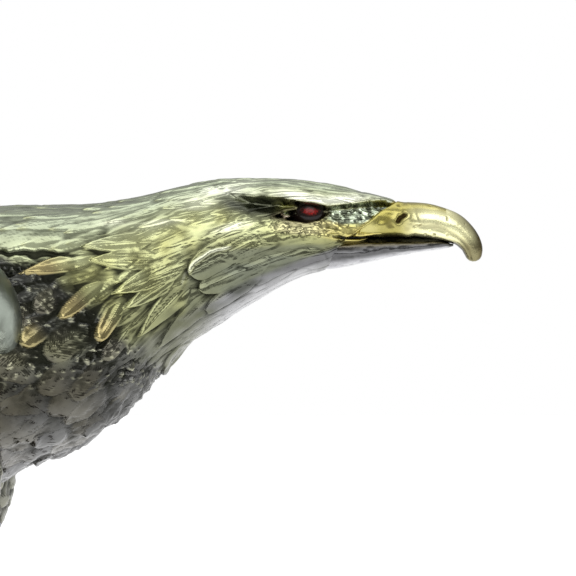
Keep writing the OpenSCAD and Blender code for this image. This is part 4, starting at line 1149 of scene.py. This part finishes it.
def crag():
    """The crag: a side and a top broken into tilted faces, coarse then fine, kept flat where the bird stands."""
    around, up, inward, middle = 440, 200, 90, 18
    t = np.linspace(0, 1, up)[:, None]
    x, y = crag_side(2 * np.pi * np.arange(around)[None] / around, t)
    height = PERCH - CRAG_FOOT
    side = np.stack([x, y, np.broadcast_to(t * height - height, x.shape)], -1)
    shrink = np.linspace(0.992, 0.01, inward)[:, None]
    top = np.stack([middle + (x[-1:] - middle) * shrink, y[-1:] * shrink, np.zeros((inward, around))], -1)
    sheet = Sheet(np.concatenate([side, top]))
    p = sheet.p
    chips, edges = np.zeros((2, *p.shape[:2]))
    warped = p + 2.2 * np.stack([noise(p, 9, seed) for seed in (81, 82, 83)], -1)
    for count, depth in ((70, 2.6), (300, 0.7)):
        seeds = p[rng.integers(0, up + 5, count), rng.integers(0, around, count)]
        tilts = rng.normal(0, 1, (count, 3)) * depth / 13 * (60 / count) ** -0.4
        sinks = rng.random(count) * depth
        nearest, second = np.full((2, *chips.shape), 1e9)
        plane = np.zeros(chips.shape)
        for seed, tilt, sink in zip(seeds, tilts, sinks):
            away = warped - seed
            d = np.linalg.norm(away * (1, 1, 0.72), axis=-1)
            second = np.where(d < nearest, nearest, np.minimum(second, d))
            plane = np.where(d < nearest, away @ tilt - sink, plane)
            nearest = np.minimum(nearest, d)
        chips += plane
        edges += bump(second - nearest, 0, 0.9) * 0.16 * depth
    for axis in (0, 1):
        chips = box_mean(box_mean(chips, 1, axis), 1, axis)
        edges = box_mean(edges, 1, axis)
    grit = 0.35 * noise(p, 2.6, 86) + 0.2 * noise(p, 1.1, 87) + 0.5 * noise(p, (30, 30, 4), 88)
    perch = step(-0.6, 0.0, p[..., 2]) * step(0.3, 0.8, sheet.n[..., 2])
    trodden = -0.5 + 0.2 * np.clip(chips, -2, 2) + 0.4 * (grit - edges)
    rim = np.concatenate([step(0.93, 1, t), step(0.90, 0.99, shrink)])
    sheet.h = np.clip((chips - edges + grit) * (1 - perch) + trodden * perch - 1.6 * rim, -6, 0.7)
    tone = mix(rgb(0.060, 0.055, 0.045), rgb(0.13, 0.12, 0.085), noise(p, 12, 88) * 0.5 + 0.5)
    tone = mix(tone, rgb(0.10, 0.14, 0.10), 0.5 * step(0.2, 0.7, noise(p, 7, 89)))
    sheet.cast(tone, 2.2, gain=0.55).piece("crag_casting", CRAG_BRONZE, "rock", "crag_bronze")


PLINTH_EDGE, ARC_POINTS, SIDE_POINTS = 18, 25, 42
# Moulded side of the plinth, bottom to top: [inset, height share].
MOULDING = [(1.2, 0), (0.3, 0.02), (0, 0.06), (0, 0.3), (0, 0.56), (0.1, 0.6), (0.6, 0.635), (1.6, 0.65), (3.2, 0.655),
            (4, 0.665), (4.1, 0.70), (4.4, 0.76), (5.2, 0.81), (6.4, 0.84), (7.4, 0.85), (8, 0.865), (8, 0.95),
            (8.3, 0.98), (9, 1), (12, 1)]


def plinth():
    low, high = (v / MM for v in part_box("plinth"))
    corners = []
    for quarter, (sx, sy) in enumerate(((1, 1), (-1, 1), (-1, -1), (1, -1))):
        turn = np.radians(90 * quarter + np.linspace(0, 90, ARC_POINTS))[:, None]
        out = np.concatenate([np.cos(turn), np.sin(turn)], 1)
        corners.append((np.array([sx * (high.x - PLINTH_EDGE), sy * (high.y - PLINTH_EDGE)]) + PLINTH_EDGE * out, out))
    points, ways = [], []
    for here, ahead in zip(corners, corners[1:] + corners[:1]):
        points += [here[0], np.linspace(here[0][-1], ahead[0][0], SIDE_POINTS)[1:-1]]
        ways += [here[1], np.tile(here[1][-1], (SIDE_POINTS - 2, 1))]
    outline, ways = np.concatenate(points), np.concatenate(ways)
    row = np.linspace(0, len(MOULDING) - 1, 150)
    inset, rise = (np.interp(row, np.arange(len(MOULDING)), [m[k] for m in MOULDING]) for k in (0, 1))
    rings = np.empty((len(row), len(outline), 3))
    rings[..., :2] = outline - inset[:, None, None] * ways
    rings[..., 2] = (low.z + rise * (high.z - low.z))[:, None]
    build = Build()
    build.loft(rings, rgb(0.1, 0.05, 0.02))
    build.piece("moulded_plinth", WOOD, "plinth", "plinth_wood", lift=0)


bird()
upper_beak()
lower_beak()
eyes()
wing_arm = arm_sheet()
for side_name, side_sign in SIDES.items():
    wing(wing_arm, side_name, side_sign)
    thigh(side_name, side_sign)
    foot(side_name, side_sign)
tail()
crag()
plinth()
for node_name, cad_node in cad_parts.items():
    if not cad_node.hide_render:
        cad_node.data.materials.clear()
        cad_node.data.materials.append(FELT if node_name == "felt_pad" else STEEL)


# ---------------------------------------------------------------- stage

WHITE = (1.0, 1.0, 1.0)
# A little in front of the bird's face, where the camera and both lamps point.
FOCUS, LAMPS_AT = Vector((117.7, 0, PERCH + 122.9)) * MM, Vector((0.1, 0, 0.23))


def floor():
    wide, near, away = 4.0, -0.6, 5.0
    mesh = bpy.data.meshes.new("floor")
    mesh.from_pydata([(-wide, near, 0), (wide, near, 0), (wide, away, 0), (-wide, away, 0)], [], [(0, 1, 2, 3)])
    material, _ = painted("floor_paint", Roughness=0.9, Base_Color=(0.92, 0.92, 0.92), Emission_Color=WHITE,
                          Emission_Strength=0.62)
    mesh.materials.append(material)
    piece = bpy.data.objects.new("floor", mesh)
    bpy.context.scene.collection.objects.link(piece)


def aimed(name, data, place, way):
    """Puts a lamp or the camera at a place, looking along `way`."""
    item = bpy.data.objects.new(name, data)
    item.location = place
    item.rotation_mode = "QUATERNION"
    item.rotation_quaternion = way.to_track_quat("-Z", "Y")
    bpy.context.scene.collection.objects.link(item)
    return item


def panel(name, place, width, height, power):
    light = bpy.data.lights.new(name, "AREA")
    light.shape, light.size, light.size_y, light.energy = "RECTANGLE", width, height, power
    aimed(name, light, Vector(place), LAMPS_AT - Vector(place))


def studio():
    """Pale room, brighter above and behind, seen white; soft lamps over and before the bird; a long lens."""
    scene = bpy.context.scene
    scene.view_settings.view_transform = "Standard"
    scene.world = bpy.data.worlds.new("studio")
    g = Graph(scene.world)
    way = g.nodes.new("ShaderNodeSeparateXYZ")
    g.put(way.inputs[0], g.nodes.new("ShaderNodeTexCoord").outputs["Generated"])
    above = g.ramp(way.outputs["Z"], (0.0, 0.28), (0.45, 0.42), (0.8, 0.75))
    behind = g.ramp(way.outputs["Y"], (0.2, 0.0), (0.8, 0.45))
    seen = g.nodes.new("ShaderNodeLightPath").outputs["Is Camera Ray"]
    g.put(g.nodes["Background"].inputs["Color"], g.mix("MIX", seen, g.mix("LIGHTEN", 1.0, above, behind), WHITE))
    floor()
    panel("overhead", (0.05, 0.1, 1.25), 1.1, 0.6, 2.6)
    panel("front_box", (0.25, -1.15, 0.72), 1.3, 0.8, 6.4)
    lens = bpy.data.cameras.new("camera")
    lens.lens, lens.sensor_width, lens.clip_start, lens.clip_end = 200, 36, 0.05, 20
    scene.camera = aimed("camera", lens, FOCUS + Vector((0, -0.8, 0)), Vector((0, 1, 0)))


studio()
